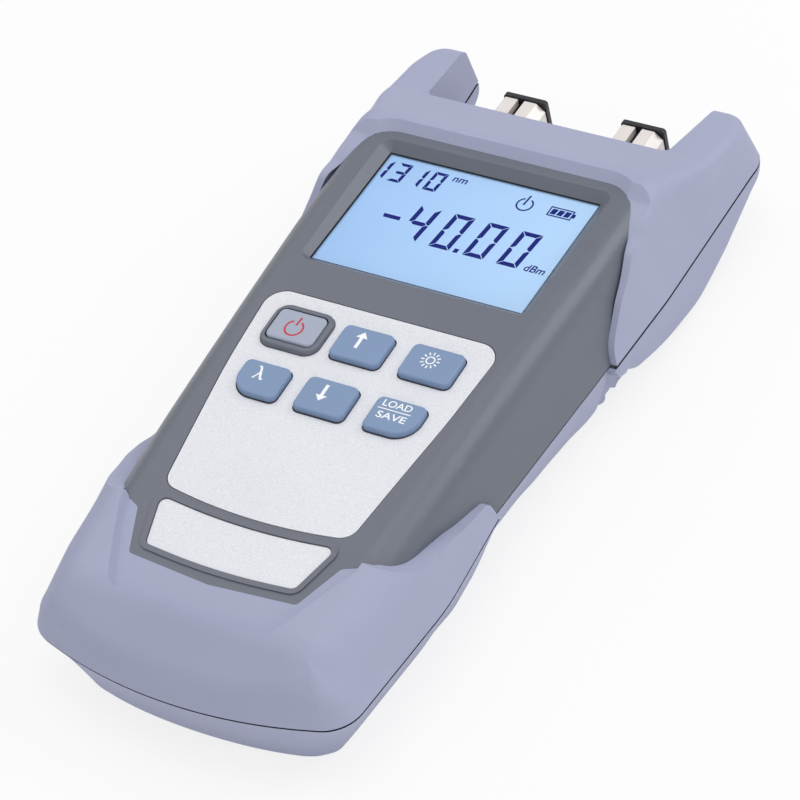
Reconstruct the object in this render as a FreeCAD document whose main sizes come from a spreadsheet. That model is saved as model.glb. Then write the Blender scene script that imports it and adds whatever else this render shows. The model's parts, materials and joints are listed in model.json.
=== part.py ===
"""Handheld optical power meter: a two-shell housing with soft end bumpers, keypad, display and fibre ports.

Frame: X to the right across the meter, Y towards the fibre ports, Z up out of the display.
The meter lies on its back on the plane Z = 0, and Y = 0 is near the middle of the display.
"""
import FreeCAD, Part
import math
import os

V = FreeCAD.Vector

DIMENSIONS = {
    # housing
    "parting_height": 16.0,
    "face_height": 37.0,
    "face_radius": 1200.0,
    "face_flat_from": 20.0,
    "wall_thickness": 2.5,
    "front_draft": 13.0,
    "rear_draft": 6.5,
    "waist_draft": 22.0,
    "foot_draft": 24.0,
    "foot_edge_radius": 2.0,
    "waist_recess": 1.6,
    "seam_width": 0.4,
    "seam_depth": 0.7,
    "shoulder_radius": 8.0,
    "inner_radius": 5.0,
    "rear_edge_radius": 3.2,
    "core_top_end": 41.5,
    "inner_top_end": 39.0,
    # soft end bumpers
    "bumper_height": 39.0,
    "bumper_lip_angle": 49.0,
    "bumper_side_radius": 7.0,
    "horn_edge_radius": 2.5,
    "boot_rise": 2.0,
    "boot_edge_radius": 10.0,
    "thumb_rest_slope": 30.0,
    # display
    "display_width": 56.0,
    "display_length": 37.6,
    "display_centre": 1.2,
    "display_depth": 2.0,
    "display_slope_width": 2.5,
    "window_thickness": 1.0,
    # keypad
    "overlay_thickness": 0.6,
    "overlay_gap": 0.25,
    "key_corner": 1.6,
    "key_rise": 1.5,
    "key_edge_radius": 0.6,
    "key_gap": 0.35,
    "key_travel": 1.2,
    "upper_row": -39.9,
    "lower_row": -56.1,
    "power_ring_rise": 1.1,
    "power_ring_radius": 0.8,
    "key_base": 30.0,
    # main board
    "board_height": 24.2,
    "board_thickness": 1.6,
    # fibre ports
    "port_offset": 16.05,
    "port_width": 11.0,
    "port_front": 59.2,
    "port_wall": 43.5,
    "cap_width": 11.6,
    "cap_thickness": 1.2,
    "ferrule_radius": 1.25,
    # battery bay
    "cell_radius": 7.1,
    "cell_length": 49.2,
    "cell_pitch": 15.2,
    "bay_low_end": -68.0,
    "bay_high_end": -11.0,
    "bay_wall": 1.5,
    "door_thickness": 1.8,
    "door_gap": 0.3,
}

doc = FreeCAD.newDocument("optical_power_meter")
sheet = doc.addObject("Spreadsheet::Sheet", "Dimensions")
for row, (alias, value) in enumerate(DIMENSIONS.items(), start=1):
    sheet.set(f"A{row}", alias)
    sheet.set(f"B{row}", str(value))
    sheet.setAlias(f"B{row}", alias)
doc.recompute()


def dim(alias):
    """Return the value of one named dimension of the sheet."""
    return float(sheet.get(alias))


PARTING = dim("parting_height")
FACE = dim("face_height")
THROUGH = 260.0
NODES = []


# ---------------------------------------------------------------- outlines

def mirrored(half):
    """Return a full outline from the corners of its right half, listed from the bottom up."""
    left = [(-corner[0],) + tuple(corner[1:]) for corner in reversed(half) if abs(corner[0]) > 1e-9]
    return list(half) + left


def rounded_rectangle(width, length, radius, x=0.0, y=0.0, special=None):
    """Return the corners of a rectangle, each with its radius; special overrides one corner by index."""
    signs = [(1, -1), (1, 1), (-1, 1), (-1, -1)]
    radii = [radius] * 4
    if special:
        radii[special[0]] = special[1]
    return [(x + sx * width / 2, y + sy * length / 2, r) for (sx, sy), r in zip(signs, radii)]


def outline(corners):
    """Turn corners (x, y, radius) into straight sides joined by tangent arcs."""
    points = [V(corner[0], corner[1], 0) for corner in corners]
    count = len(points)
    starts, ends, arcs = [], [], []
    for index, corner in enumerate(corners):
        point = points[index]
        radius = corner[2] if len(corner) > 2 else 0
        if radius <= 0:
            starts.append(point)
            ends.append(point)
            arcs.append(None)
            continue
        back = (points[index - 1] - point).normalize()
        ahead = (points[(index + 1) % count] - point).normalize()
        half_angle = back.getAngle(ahead) / 2
        centre = point + (back + ahead).normalize() * (radius / math.sin(half_angle))
        start = point + back * (radius / math.tan(half_angle))
        end = point + ahead * (radius / math.tan(half_angle))
        middle = centre + (point - centre).normalize() * radius
        starts.append(start)
        ends.append(end)
        arcs.append(Part.Arc(start, middle, end))
    edges = []
    for index in range(count):
        if arcs[index]:
            edges.append(arcs[index])
        start, end = ends[index], starts[(index + 1) % count]
        if (end - start).Length > 1e-6:
            edges.append(Part.LineSegment(start, end))
    return edges


def above_face(drop):
    """Outline, in the side view, of everything above the curved face lowered by drop."""
    radius = dim("face_radius") - drop
    centre = V(dim("face_flat_from"), FACE - dim("face_radius"), 0)
    low_end, high_end, sky = -150.0, 80.0, 60.0
    sweep = math.asin((low_end - centre.x) / radius)
    low = centre + V(radius * math.sin(sweep), radius * math.cos(sweep), 0)
    middle = centre + V(radius * math.sin(sweep / 2), radius * math.cos(sweep / 2), 0)
    flat = centre + V(0, radius, 0)
    corners = [flat, V(high_end, flat.y, 0), V(high_end, sky, 0), V(low.x, sky, 0), low]
    sides = [Part.LineSegment(first, second) for first, second in zip(corners, corners[1:])]
    return [Part.Arc(low, middle, flat)] + sides


def face_at(y, drop=0.0):
    """Height of the curved face, lowered by drop, at a place along the meter."""
    run = min(0.0, y - dim("face_flat_from"))
    radius = dim("face_radius") - drop
    return FACE - dim("face_radius") + math.sqrt(radius ** 2 - run ** 2)


# ---------------------------------------------------------------- building helpers

def new_body(name):
    """Start a PartDesign body."""
    return doc.addObject("PartDesign::Body", name)


def sketch(body, role, edges, offset=0.0, offset_name=None):
    """Draw edges on one of the body's own origin planes, raised by offset or a named dimension."""
    drawing = body.newObject("Sketcher::SketchObject", body.Name + "_sketch")
    plane = next(item for item in body.Origin.OriginFeatures if item.Role == role)
    drawing.AttachmentSupport = [(plane, "")]
    drawing.MapMode = "FlatFace"
    drawing.AttachmentOffset = FreeCAD.Placement(V(0, 0, offset), FreeCAD.Rotation())
    if offset_name:
        drawing.setExpression("AttachmentOffset.Base.z", f"Dimensions.{offset_name}")
    drawing.addGeometry(edges, False)
    return drawing


def feature(kind, drawing, length, symmetric=False, draft=None, down=False):
    """Pad or pocket a sketch; length and draft are numbers or expressions on the sheet."""
    body = drawing.getParentGeoFeatureGroup()
    item = body.newObject("PartDesign::" + kind, body.Name + "_" + kind.lower())
    item.Profile = drawing
    if isinstance(length, str):
        item.setExpression("Length", length)
    else:
        item.Length = length
    if symmetric:
        item.SideType = "Symmetric"
    if draft:
        item.setExpression("TaperAngle", draft)
    item.Reversed = down
    doc.recompute()
    return item


def edge_names(shape, wanted):
    """Names of the edges that pass a test."""
    return [f"Edge{number}" for number, edge in enumerate(shape.Edges, start=1) if wanted(edge)]


def face_rim(shape, drop, low_end, high_end):
    """Names of the edges lying on the curved face lowered by drop, without those past either end."""
    def wanted(edge):
        points = edge.discretize(5)
        on_face = all(abs(point.z - face_at(point.y, drop)) < 0.02 for point in points)
        past_end = all(point.y > high_end for point in points) or all(point.y < low_end for point in points)
        return on_face and not past_end
    return edge_names(shape, wanted)


def fillet(item, names, radius_name):
    """Round named edges of the latest feature of a body."""
    body = item.getParentGeoFeatureGroup()
    rounded = body.newObject("PartDesign::Fillet", body.Name + "_fillet")
    rounded.Base = (item, names)
    rounded.setExpression("Radius", f"Dimensions.{radius_name}")
    doc.recompute()
    return rounded


def prism(name, corners, low, high, draft=None):
    """A body padded straight up from an outline between two heights."""
    body = new_body(name)
    feature("Pad", sketch(body, "XY_Plane", outline(corners), low), high - low, draft=draft)
    return body


def side_prism(name, corners):
    """A body made by running a side-view outline right across the meter."""
    body = new_body(name)
    feature("Pad", sketch(body, "YZ_Plane", outline(corners)), THROUGH, symmetric=True)
    return body


def box(name, low, high):
    """A Part box between two opposite corners."""
    item = doc.addObject("Part::Box", name)
    item.Length, item.Width, item.Height = [b - a for a, b in zip(low, high)]
    item.Placement.Base = V(*low)
    return item


def cylinder(name, radius, length, base, axis=(0, 0, 1)):
    """A Part cylinder from a base point along an axis; radius may be the name of a dimension."""
    item = doc.addObject("Part::Cylinder", name)
    if isinstance(radius, str):
        item.setExpression("Radius", f"Dimensions.{radius}")
    else:
        item.Radius = radius
    item.Height = length
    item.Placement = FreeCAD.Placement(V(*base), FreeCAD.Rotation(V(0, 0, 1), V(*axis)))
    return item


def fuse(name, items):
    """Fuse several objects into one."""
    item = doc.addObject("Part::MultiFuse", name)
    item.Shapes = items
    item.Refine = True
    doc.recompute()
    return item


def cut(name, base, tools):
    """Cut the tools, joined first, from the base."""
    item = doc.addObject("Part::Cut", name)
    item.Base = base
    item.Tool = tools[0] if len(tools) == 1 else fuse(name + "_tools", tools)
    doc.recompute()
    return item


def common(name, first, second):
    """Keep what two objects share."""
    item = doc.addObject("Part::Common", name)
    item.Base = first
    item.Tool = second
    doc.recompute()
    return item


def copy_of(name, source):
    """A separate object with the shape of another."""
    item = doc.addObject("Part::Feature", name)
    item.Shape = source.Shape.copy()
    return item


def node(item, label):
    """Name a finished sub-part."""
    item.Label = label
    NODES.append(item)
    return item


# ---------------------------------------------------------------- outlines of the housing, seen from above

# Right-hand corners at the parting plane, from the bottom end up: X, Y and corner radius.
CORE_OUTLINE = mirrored([(36.2, -124.8, 6), (39.9, -70, 150), (43.2, -2, 120), (43.2, dim("core_top_end"), 3)])
HEAD_OUTLINE = mirrored([(44.3, -12), (45.4, 14, 80), (44.9, 67.3, 8)])
FOOT_OUTLINE = mirrored([(0, -136.9, 118), (41.0, -124.6, 9), (43.9, -86, 60), (41.4, -56)])
INNER_OUTLINE = mirrored([(33.3, -119.0, 4), (36.9, -70, 120), (40.2, -2, 100), (40.2, dim("inner_top_end"), 2)])

# Right-hand corners of the gap between the two horns.
HORN_GAP = mirrored([(32.4, dim("port_wall"), 2.0), (34.8, 72, 0)])

# Right-hand corners of the notch in the upper edge of the boot.
BOOT_NOTCH = mirrored([(0, -109.2), (21.55, -107.5, 1.2), (26.2, -96.1, 1.5), (32.5, -92.7, 1.5), (35.0, -84.0),
                       (35.0, -40.0)])

# Right-hand corners of the silver keypad overlay and of the small plate below it.
OVERLAY = mirrored([(0, -92.3, 128), (24.0, -88.4, 4), (28.6, -53, 200), (30.3, -29.6, 5)])
PLATE = mirrored([(0, -105.8, 150), (19.1, -104.1, 1.6), (22.6, -91.7, 1.6), (0, -94.2, 150)])


def offset_outline(corners, amount):
    """Shift each side of an outline outwards by amount, keeping the arcs concentric."""
    count = len(corners)
    shifted = []
    for index, corner in enumerate(corners):
        point = V(corner[0], corner[1], 0)
        before = (point - V(*corners[index - 1][:2], 0)).normalize()
        after = (V(*corners[(index + 1) % count][:2], 0) - point).normalize()
        turn = before.x * after.y - before.y * after.x
        normal = V(before.y, -before.x, 0) + V(after.y, -after.x, 0)
        moved = point + normal * (amount / (1 + before.dot(after)))
        radius = corner[2] if len(corner) > 2 else 0
        if radius > 0:
            radius = max(0.2, radius + (amount if turn > 0 else -amount))
        shifted.append((moved.x, moved.y, radius))
    return shifted


# ---------------------------------------------------------------- front shell

def core_solid():
    """The grey front shell as a filled form: drafted walls, curved face, well rounded shoulders."""
    body = new_body("core_form")
    pad = feature("Pad", sketch(body, "XY_Plane", outline(CORE_OUTLINE), PARTING, "parting_height"),
                  24.0, draft="-Dimensions.front_draft")
    top = feature("Pocket", sketch(body, "YZ_Plane", above_face(0)), THROUGH, symmetric=True)
    fillet(top, face_rim(top.Shape, 0, -120, 35), "shoulder_radius")
    under_head = side_prism("under_head", [(26.5, 37.6), (44.0, 29.0), (60, 29), (60, 60), (26.5, 60)])
    under_boot = side_prism("under_boot", [(-118.0, 60), (-118.0, 27.3), (-126.0, 18.0), (-140, 18.0), (-140, 60)])
    ledge = cut("boot_ledge", face_slab("boot_ledge_slab", [(60, -140), (60, -94.5), (-60, -94.5), (-60, -140)],
                                        -10.0, dim("boot_rise") - 0.2), [prism("boot_ledge_notch", BOOT_NOTCH, 10, 60)])
    return cut("core", body, [under_head, under_boot, ledge])


def core_cavity():
    """The room inside the front shell, one wall thickness in from its outside."""
    body = new_body("core_cavity")
    feature("Pad", sketch(body, "XY_Plane", outline(INNER_OUTLINE), PARTING - 1.0), 27.0,
            draft="-Dimensions.front_draft")
    top = feature("Pocket", sketch(body, "YZ_Plane", above_face(dim("wall_thickness"))), THROUGH, symmetric=True)
    fillet(top, face_rim(top.Shape, dim("wall_thickness"), -114, 33), "inner_radius")
    under_head = side_prism("cavity_head", [(24, 60), (24, 34.5), (28, 34.0), (39, 27.6), (50, 27.6), (50, 60)])
    under_boot = side_prism("cavity_boot", [(-93, 60), (-93, 28.9), (-107, 26.3), (-114, 25.0), (-122, 17),
                                            (-130, 17), (-130, 60)])
    return cut("cavity", body, [under_head, under_boot])


def face_slab(name, corners, upper_drop, lower_drop):
    """A thin piece that follows the curved face: an outline kept between two depths below the face."""
    body = new_body(name)
    feature("Pad", sketch(body, "XY_Plane", outline(corners), 20.0), 22.0)
    feature("Pocket", sketch(body, "YZ_Plane", above_face(upper_drop)), THROUGH, symmetric=True)
    feature("Pocket", sketch(body, "YZ_Plane", below_face(lower_drop)), THROUGH, symmetric=True)
    return body


def below_face(drop):
    """Outline, in the side view, of everything below the curved face lowered by drop."""
    arc = above_face(drop)[0]
    floor = 10.0
    low, flat = arc.StartPoint, arc.EndPoint
    corners = [flat, V(80, flat.y, 0), V(80, floor, 0), V(low.x, floor, 0), low]
    return [arc] + [Part.LineSegment(first, second) for first, second in zip(corners, corners[1:])]


KEYS = {
    # name: (X, row, width, length, special corner index and radius)
    "key_power": (-17.7, "upper_row", 12.4, 8.9, None),
    "key_up": (-0.55, "upper_row", 12.9, 9.7, None),
    "key_light": (17.5, "upper_row", 13.2, 9.7, None),
    "key_wavelength": (-17.7, "lower_row", 11.8, 9.4, (3, 5.2)),
    "key_down": (-0.55, "lower_row", 12.9, 9.6, None),
    "key_memory": (17.2, "lower_row", 12.4, 9.4, (0, 5.6)),
}


def key_place(name):
    """Centre of one key."""
    x, row = KEYS[name][:2]
    return x, dim(row)


def key_corners(name, grow=0.0):
    """Outline of one key, grown by a clearance."""
    _, _, width, length, special = KEYS[name]
    x, y = key_place(name)
    if special:
        special = (special[0], special[1] + grow)
    return rounded_rectangle(width + 2 * grow, length + 2 * grow, dim("key_corner") + grow, x, y, special)


def ring_corners(grow=0.0):
    """Outside outline of the raised ring round the power key."""
    x, y = key_place("key_power")
    return rounded_rectangle(15.4 + 2 * grow, 12.6 + 2 * grow, 3.4 + grow, x, y)


def power_ring():
    """The raised ring round the power key, with a rounded outer rim."""
    body = new_body("power_ring")
    feature("Pad", sketch(body, "XY_Plane", outline(ring_corners()), 32.2), 9.0)
    rise = dim("power_ring_rise")
    top = feature("Pocket", sketch(body, "YZ_Plane", above_face(-rise)), THROUGH, symmetric=True)
    fillet(top, face_rim(top.Shape, -rise, -120, 35), "power_ring_radius")
    return cut("power_ring_open", body, [prism("power_ring_hole", key_corners("key_power", dim("key_gap")), 30, 42)])


def display_opening():
    """The sloped frame round the display and the opening below it."""
    width, length = dim("display_width"), dim("display_length")
    corners = rounded_rectangle(width, length, 0.4, 0, dim("display_centre"))
    depth = dim("display_depth")
    flare = new_body("display_flare")
    slope = math.degrees(math.atan(dim("display_slope_width") / depth))
    drawing = sketch(flare, "XY_Plane", outline(corners), FACE - depth)
    pad = feature("Pad", drawing, depth * 1.25)
    pad.TaperAngle = slope
    doc.recompute()
    well = prism("display_well", corners, 28.0, FACE - depth + 0.2)
    seat = prism("window_seat", rounded_rectangle(width + 4, length + 4, 1.0, 0, dim("display_centre")),
                 28.0, FACE - depth)
    return [flare, well, seat]


def port_holes():
    """Square holes in the top wall that the two port adapters pass through."""
    half = dim("port_width") / 2 + 0.1
    holes = []
    for side in (-1, 1):
        x = side * dim("port_offset")
        holes.append(box("port_hole", (x - half, 36.0, PARTING - half), (x + half, 46.0, PARTING + half)))
    return holes


BOSSES = [(-34.0, 28.0), (34.0, 28.0), (-29.5, -84.0), (29.5, -84.0)]
BOARD_POSTS = [(-26.0, 30.0), (26.0, 30.0), (-29.0, -66.5), (29.0, -66.5)]
FLANGE_SCREWS = [(side * dim("port_offset") + way * 7.2, 20.6) for side in (-1, 1) for way in (-1, 1)]


def build_front_case(core):
    """The hard front shell with its display frame, key openings and screw posts."""
    ring = power_ring()
    frame = face_slab("plate_frame", offset_outline(PLATE, 1.5), -0.35, 0.5)
    shell = cut("front_shell", core, [core_cavity()])
    posts = []
    for x, y in BOSSES:
        posts.append(cylinder("front_post", 3.2, min(33.5, face_at(y) - 1.6) - PARTING - 0.5, (x, y, PARTING + 0.5)))
    board_top = dim("board_height") + dim("board_thickness")
    for x, y in BOARD_POSTS:
        posts.append(cylinder("board_post", 2.6, min(33.5, face_at(y) - 1.0) - board_top, (x, y, board_top)))
    shell = fuse("front_shell_posts", [shell, frame] + posts)
    tools = display_opening() + port_holes()
    tools.append(face_slab("overlay_recess", offset_outline(OVERLAY, dim("overlay_gap")), -2.0,
                           dim("overlay_thickness")))
    tools.append(face_slab("plate_recess", offset_outline(PLATE, 0.15), -2.0, dim("overlay_thickness")))
    for name in KEYS:
        tools.append(prism(name + "_hole", key_corners(name, dim("key_gap")), 28.0, 42.0))
    for x, y in BOSSES:
        tools.append(cylinder("post_hole", 1.1, 9.0, (x, y, PARTING)))
    for x, y in BOARD_POSTS:
        tools.append(cylinder("post_hole", 0.9, 4.0, (x, y, board_top - 1.0)))
    for x, z in FLANGE_SCREWS:
        tools.append(cylinder("flange_hole", 0.75, 3.6, (x, 36.6, z), (0, 1, 0)))
    shell = cut("front_case_cut", shell, tools)
    return node(fuse("front_case", [shell, ring]), "front_case")


# ---------------------------------------------------------------- soft bumpers

def moulded_rim(body, item, radius_name):
    """Round the crest of a bumper: every edge between its drafted side walls and its top surfaces."""
    shape = item.Shape
    names = []
    for number, edge in enumerate(shape.Edges, start=1):
        faces = shape.ancestorsOfType(edge, Part.Face)
        tops = [is_top(face) for face in faces]
        span = edge.BoundBox
        across = abs(span.XMin + span.XMax) < 1.0 and span.YLength < 1.0
        if sum(tops) == 1 and span.ZMin > PARTING + 0.01 and not (across and span.YMin > -62):
            names.append(f"Edge{number}")
    return fillet(item, names, radius_name)


def is_top(face):
    """True for a face that was cut by a side-view outline and looks upwards."""
    low_u, high_u, low_v, high_v = face.ParameterRange
    normal = face.normalAt((low_u + high_u) / 2, (low_v + high_v) / 2)
    return abs(normal.x) < 1e-4 and normal.z > 0.3


def head_solid():
    """The filled form of the bumper at the port end, before the gap between the horns."""
    body = new_body("head_form")
    feature("Pad", sketch(body, "XY_Plane", outline(HEAD_OUTLINE), PARTING, "parting_height"), 26.0,
            draft="-Dimensions.front_draft")
    crest = dim("bumper_height")
    above = [(-20, crest), (28.2, crest, 10), (44.2, 32, 12), (64.6, 28.6, 4), (68, 14), (90, 14), (90, 60),
             (-20, 60)]
    feature("Pocket", sketch(body, "YZ_Plane", outline(above)), THROUGH, symmetric=True)
    solid = body.Shape
    picks = []
    for number, edge in enumerate(solid.Edges, start=1):
        span = edge.BoundBox
        beside = span.ZMin > 20 and min(abs(span.XMin), abs(span.XMax)) > 36.9 and span.YMin > -7
        if beside and span.YLength > 1.0:
            first = edge.valueAt(edge.FirstParameter)
            last = edge.valueAt(edge.LastParameter)
            picks.append((number, head_radius(last.y), head_radius(first.y)))
    rounded = doc.addObject("Part::Fillet", "head_rounded")
    rounded.Base = body
    rounded.Edges = picks
    doc.recompute()
    return rounded


def head_radius(y):
    """Edge radius of the head bumper, falling from its side to the horns."""
    side, horn = dim("bumper_side_radius"), dim("horn_edge_radius")
    share = min(1.0, max(0.0, (y - 26.0) / 17.0))
    return side + (horn - side) * share


def build_top_bumper(head, core):
    """The soft bumper with its two horns, moulded over the shoulder of the front shell."""
    gap = prism("horn_gap", HORN_GAP, 0.0, 60.0)
    window = new_body("head_window")
    corners = [(36.4, 25.2, 9), (-36.4, 25.2, 9), (-36.4, -40), (36.4, -40)]
    drawing = sketch(window, "XY_Plane", outline(corners), FACE)
    pad = feature("Pad", drawing, 8.0)
    pad.setExpression("TaperAngle", "Dimensions.bumper_lip_angle")
    doc.recompute()
    below = prism("head_window_low", corners, 26.0, FACE + 0.02)
    slope = side_prism("head_tongue_slope", [(-40, 15.9), (-9.0, 15.9), (-7.6, 21.4, 9), (3.5, 26.6, 40), (13, 34.2, 25),
                                             (22.0, 36.5, 4), (26.0, 39.5, 0), (26.0, 60), (-40, 60)])
    bumper = cut("top_bumper_cut", head, [core, gap, window, below, slope] + port_holes())
    return node(bumper, "top_bumper")


def foot_solid():
    """The filled form of the boot round the lower end."""
    body = new_body("foot_form")
    feature("Pad", sketch(body, "XY_Plane", outline(FOOT_OUTLINE), PARTING, "parting_height"), 26.0,
            draft="-Dimensions.front_draft")
    rise = dim("boot_rise")
    above = [(-160, 60), (-160, 8), (-135.2, 8), (-129.1, 22.8, 12), (-117.5, 29.2 + rise, 14),
             (-50, 35.3 + rise), (-50, 60)]
    top = feature("Pocket", sketch(body, "YZ_Plane", outline(above)), THROUGH, symmetric=True)
    moulded_rim(body, top, "boot_edge_radius")
    return body


def build_bottom_boot(foot, core):
    """The soft boot with its stepped notch and its sunken thumb rest."""
    notch = prism("boot_notch", BOOT_NOTCH, 24.0, 60.0)
    slope = side_prism("boot_wing_slope", [(-50, 15.9), (-59.2, 15.9), (-60.2, 21.3, 2.6), (-80.0, 25.6, 40),
                                           (-88.0, 28.2, 20), (-95.5, 34.5, 4), (-97.5, 38.5), (-97.5, 60), (-50, 60)])
    scoop = thumb_rest()
    boot = cut("bottom_boot_cut", foot, [core, notch, slope, scoop])
    return node(boot, "bottom_boot")


def thumb_rest():
    """The sunken rest below the notch: its floor is level with the grey face and its walls slope."""
    body = new_body("thumb_rest")
    corners = mirrored([(0, -117.3, 150), (19.9, -116.1, 2.0), (28.0, -96.0, 3.0), (28.6, -84.0)])
    pad = feature("Pad", sketch(body, "XY_Plane", outline(corners), 28.9), 12.0)
    pad.setExpression("TaperAngle", "Dimensions.thumb_rest_slope")
    doc.recompute()
    feature("Pocket", sketch(body, "YZ_Plane", below_face(0)), THROUGH, symmetric=True)
    return body


# ---------------------------------------------------------------- rear shell

def rear_block(name, corners, depth_profile, draft_name, radius):
    """One stretch of the rear shell: an outline drafted downwards and cut to a side-view profile."""
    body = new_body(name)
    drawing = sketch(body, "XY_Plane", outline(corners), PARTING, "parting_height")
    feature("Pad", drawing, 18.0, draft=f"-Dimensions.{draft_name}", down=True)
    top = feature("Pocket", sketch(body, "YZ_Plane", outline(depth_profile)), THROUGH, symmetric=True)
    names = []
    for number, edge in enumerate(top.Shape.Edges, start=1):
        faces = top.Shape.ancestorsOfType(edge, Part.Face)
        downs = [is_bottom(face) for face in faces]
        if sum(downs) == 1 and edge.BoundBox.ZMax < PARTING - 0.02:
            names.append(f"Edge{number}")
    rounded = body.newObject("PartDesign::Fillet", name + "_fillet")
    rounded.Base = (top, names)
    rounded.Radius = radius
    doc.recompute()
    return body


def is_bottom(face):
    """True for a face that was cut by a side-view outline and looks downwards."""
    low_u, high_u, low_v, high_v = face.ParameterRange
    normal = face.normalAt((low_u + high_u) / 2, (low_v + high_v) / 2)
    return abs(normal.x) < 1e-4 and normal.z < -0.3


# The rough block is a little fuller than the foot, which its own drafted form then cuts back.
REAR_BLOCK = mirrored([(0, -137.5, 118), (41.7, -125.1, 9), (44.6, -86, 60), (44.3, -12), (45.4, 14, 80),
                       (44.9, 67.3, 8)])
REAR_FOOT = mirrored([(0, -136.9, 118), (41.0, -124.6, 9), (43.9, -86, 60), (41.0, -51)])
REAR_OUTLINE = mirrored([(0, -136.9, 118), (41.0, -124.6, 9), (43.9, -86, 60), (41.4, -56), (44.3, -12),
                         (45.4, 14, 80), (44.9, 67.3, 8)])
WAIST_OUTLINE = mirrored([(39.6, -74), (43.1, -2), (43.1, 20)])


def rear_outer():
    """The outside of the rear shell: a full block cut back to its drafted foot and its drawn-in waist."""
    block = rear_block("rear_block", REAR_BLOCK,
                       [(-160, 0), (29, 0, 26), (44, 3.8, 20), (66.0, 12.5, 4), (70, 16.5), (90, 16.5), (90, -20),
                        (-160, -20)], "rear_draft", dim("rear_edge_radius"))
    foot = rear_block("rear_foot", REAR_FOOT,
                      [(-160, 16.2), (-137.6, 16.2), (-129.0, 3.5, 8), (-122.0, 0, 8), (-40, 0), (-40, -20), (-160, -20)],
                      "foot_draft", dim("foot_edge_radius"))
    foot_span = box("foot_span", (-60, -150, -1), (60, -58.0, 16.5))
    waist = rear_block("rear_waist", WAIST_OUTLINE, [(-90, 1.6), (30, 1.6), (30, -20), (-90, -20)],
                       "waist_draft", 6.0)
    span = side_prism("waist_span", [(-59.2, 16.5), (-59.2, 11.0, 6), (-62.4, 4.0, 8), (-68.0, -1.0), (-0.9, -1.0),
                                     (-4.4, 2.6, 8), (-9.4, 9.0, 6), (-9.4, 16.5)])
    gap = prism("rear_horn_gap", mirrored([(32.4, dim("port_wall"), 2.0), (34.8, 72, 0)]), -4.0, 20.0)
    return cut("rear_outer", block, [cut("foot_scoop", foot_span, [foot]), cut("waist_scoop", span, [waist])]
               + seam_grooves()), gap


def seam_grooves():
    """The fine groove all round the top edge of the rear shell, along its waist too."""
    depth, low, high = dim("seam_depth"), PARTING - dim("seam_width"), PARTING + 0.1
    around = box("seam_block", (-60, -150, low), (60, 90, high))
    inside = prism("seam_inside", offset_outline(REAR_OUTLINE, -depth), low - 1, high + 1)
    between = prism("seam_horn_gap", offset_outline(HORN_GAP, depth), low - 2, high + 2)
    waist_block = box("seam_waist_block", (-60, -59.0, low), (60, -9.6, high))
    waist_inside = prism("seam_waist_inside", offset_outline(WAIST_OUTLINE, -depth), low - 1, high + 1)
    return [cut("seam_ring", around, [cut("seam_core", inside, [between])]),
            cut("seam_waist", waist_block, [waist_inside])]


BAY = (-23.0, 23.0, dim("bay_low_end"), dim("bay_high_end"))
BAY_ROOF = 19.0


def build_rear_case():
    """The hard rear shell with its battery bay, screw wells and port cradle."""
    shell, gap = rear_outer()
    wall = dim("bay_wall")
    floor = 4.0
    hollow_head = prism("rear_hollow_head", mirrored([(38.0, -6.0, 2), (40.6, 14, 0), (40.6, dim("inner_top_end"), 2)]),
                        floor, PARTING + 1)
    hollow_waist = prism("rear_hollow_waist", mirrored([(33.0, -70.0), (35.6, 0.0)]), floor + 0.4, PARTING + 1)
    hollow_foot = prism("rear_hollow_foot", mirrored([(32.0, -122.0, 4), (36.4, -86.0, 0), (34.0, -62.0, 2)]),
                        floor, PARTING + 1)
    hollow = fuse("rear_hollow", [hollow_head, hollow_waist, hollow_foot])
    shell = cut("rear_shell", shell, [hollow, gap])
    low_x, high_x, low_y, high_y = BAY
    bay_wall = box("bay_wall", (low_x - wall, low_y - wall, floor - 1.0), (high_x + wall, high_y + wall, BAY_ROOF + wall))
    posts = [bay_wall]
    for x, y in BOSSES:
        posts.append(cylinder("rear_post", 3.6, PARTING - 2.0, (x, y, 2.0)))
    shell = fuse("rear_shell_posts", [shell] + posts)
    bay = box("bay_room", (low_x, low_y, -1.0), (high_x, high_y, BAY_ROOF))
    edge = dim("door_thickness") + dim("door_gap") + dim("waist_recess")
    door_seat = box("door_seat", (low_x - 1.9, low_y - 1.6, -1.0), (high_x + 1.9, high_y + 1.6, edge))
    tools = [bay, door_seat]
    for x, y in BOSSES:
        tools.append(cylinder("screw_way", 1.4, 30.0, (x, y, -1.0)))
        tools.append(cylinder("screw_well", 2.9, 9.0, (x, y, -1.0)))
    half = dim("port_width") / 2 + 0.1
    for side in (-1, 1):
        x = side * dim("port_offset")
        tools.append(box("port_hole", (x - half, 36.0, PARTING - half), (x + half, 46.0, PARTING + half)))
    return node(cut("rear_case_cut", shell, tools), "rear_case")


def build_battery_door():
    """The sliding lid of the battery bay, with ribs for the thumb."""
    low_x, high_x, low_y, high_y = BAY
    gap = dim("door_gap")
    base = dim("waist_recess")
    plate = box("door_plate", (low_x - 1.9 + gap, low_y - 1.6 + gap, base),
                (high_x + 1.9 - gap, high_y + 1.6 - gap, base + dim("door_thickness")))
    ribs = []
    for step in range(5):
        y = -60.0 + 2.4 * step
        ribs.append(box("door_rib", (-9.0, y, base - 0.6), (9.0, y + 1.0, base + 0.4)))
    return node(fuse("battery_door", [plate] + ribs), "battery_door")


# ---------------------------------------------------------------- keypad and display

def build_overlay():
    """The thin silver overlay that the keys come up through."""
    sheet_piece = face_slab("overlay_sheet", OVERLAY, 0.0, dim("overlay_thickness") - 0.02)
    holes = [prism(name + "_window", key_corners(name, dim("key_gap")), 28.0, 42.0)
             for name in KEYS if name != "key_power"]
    holes.append(prism("power_window", ring_corners(0.15), 28.0, 42.0))
    return node(cut("keypad_overlay", sheet_piece, holes), "keypad_overlay")


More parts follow.
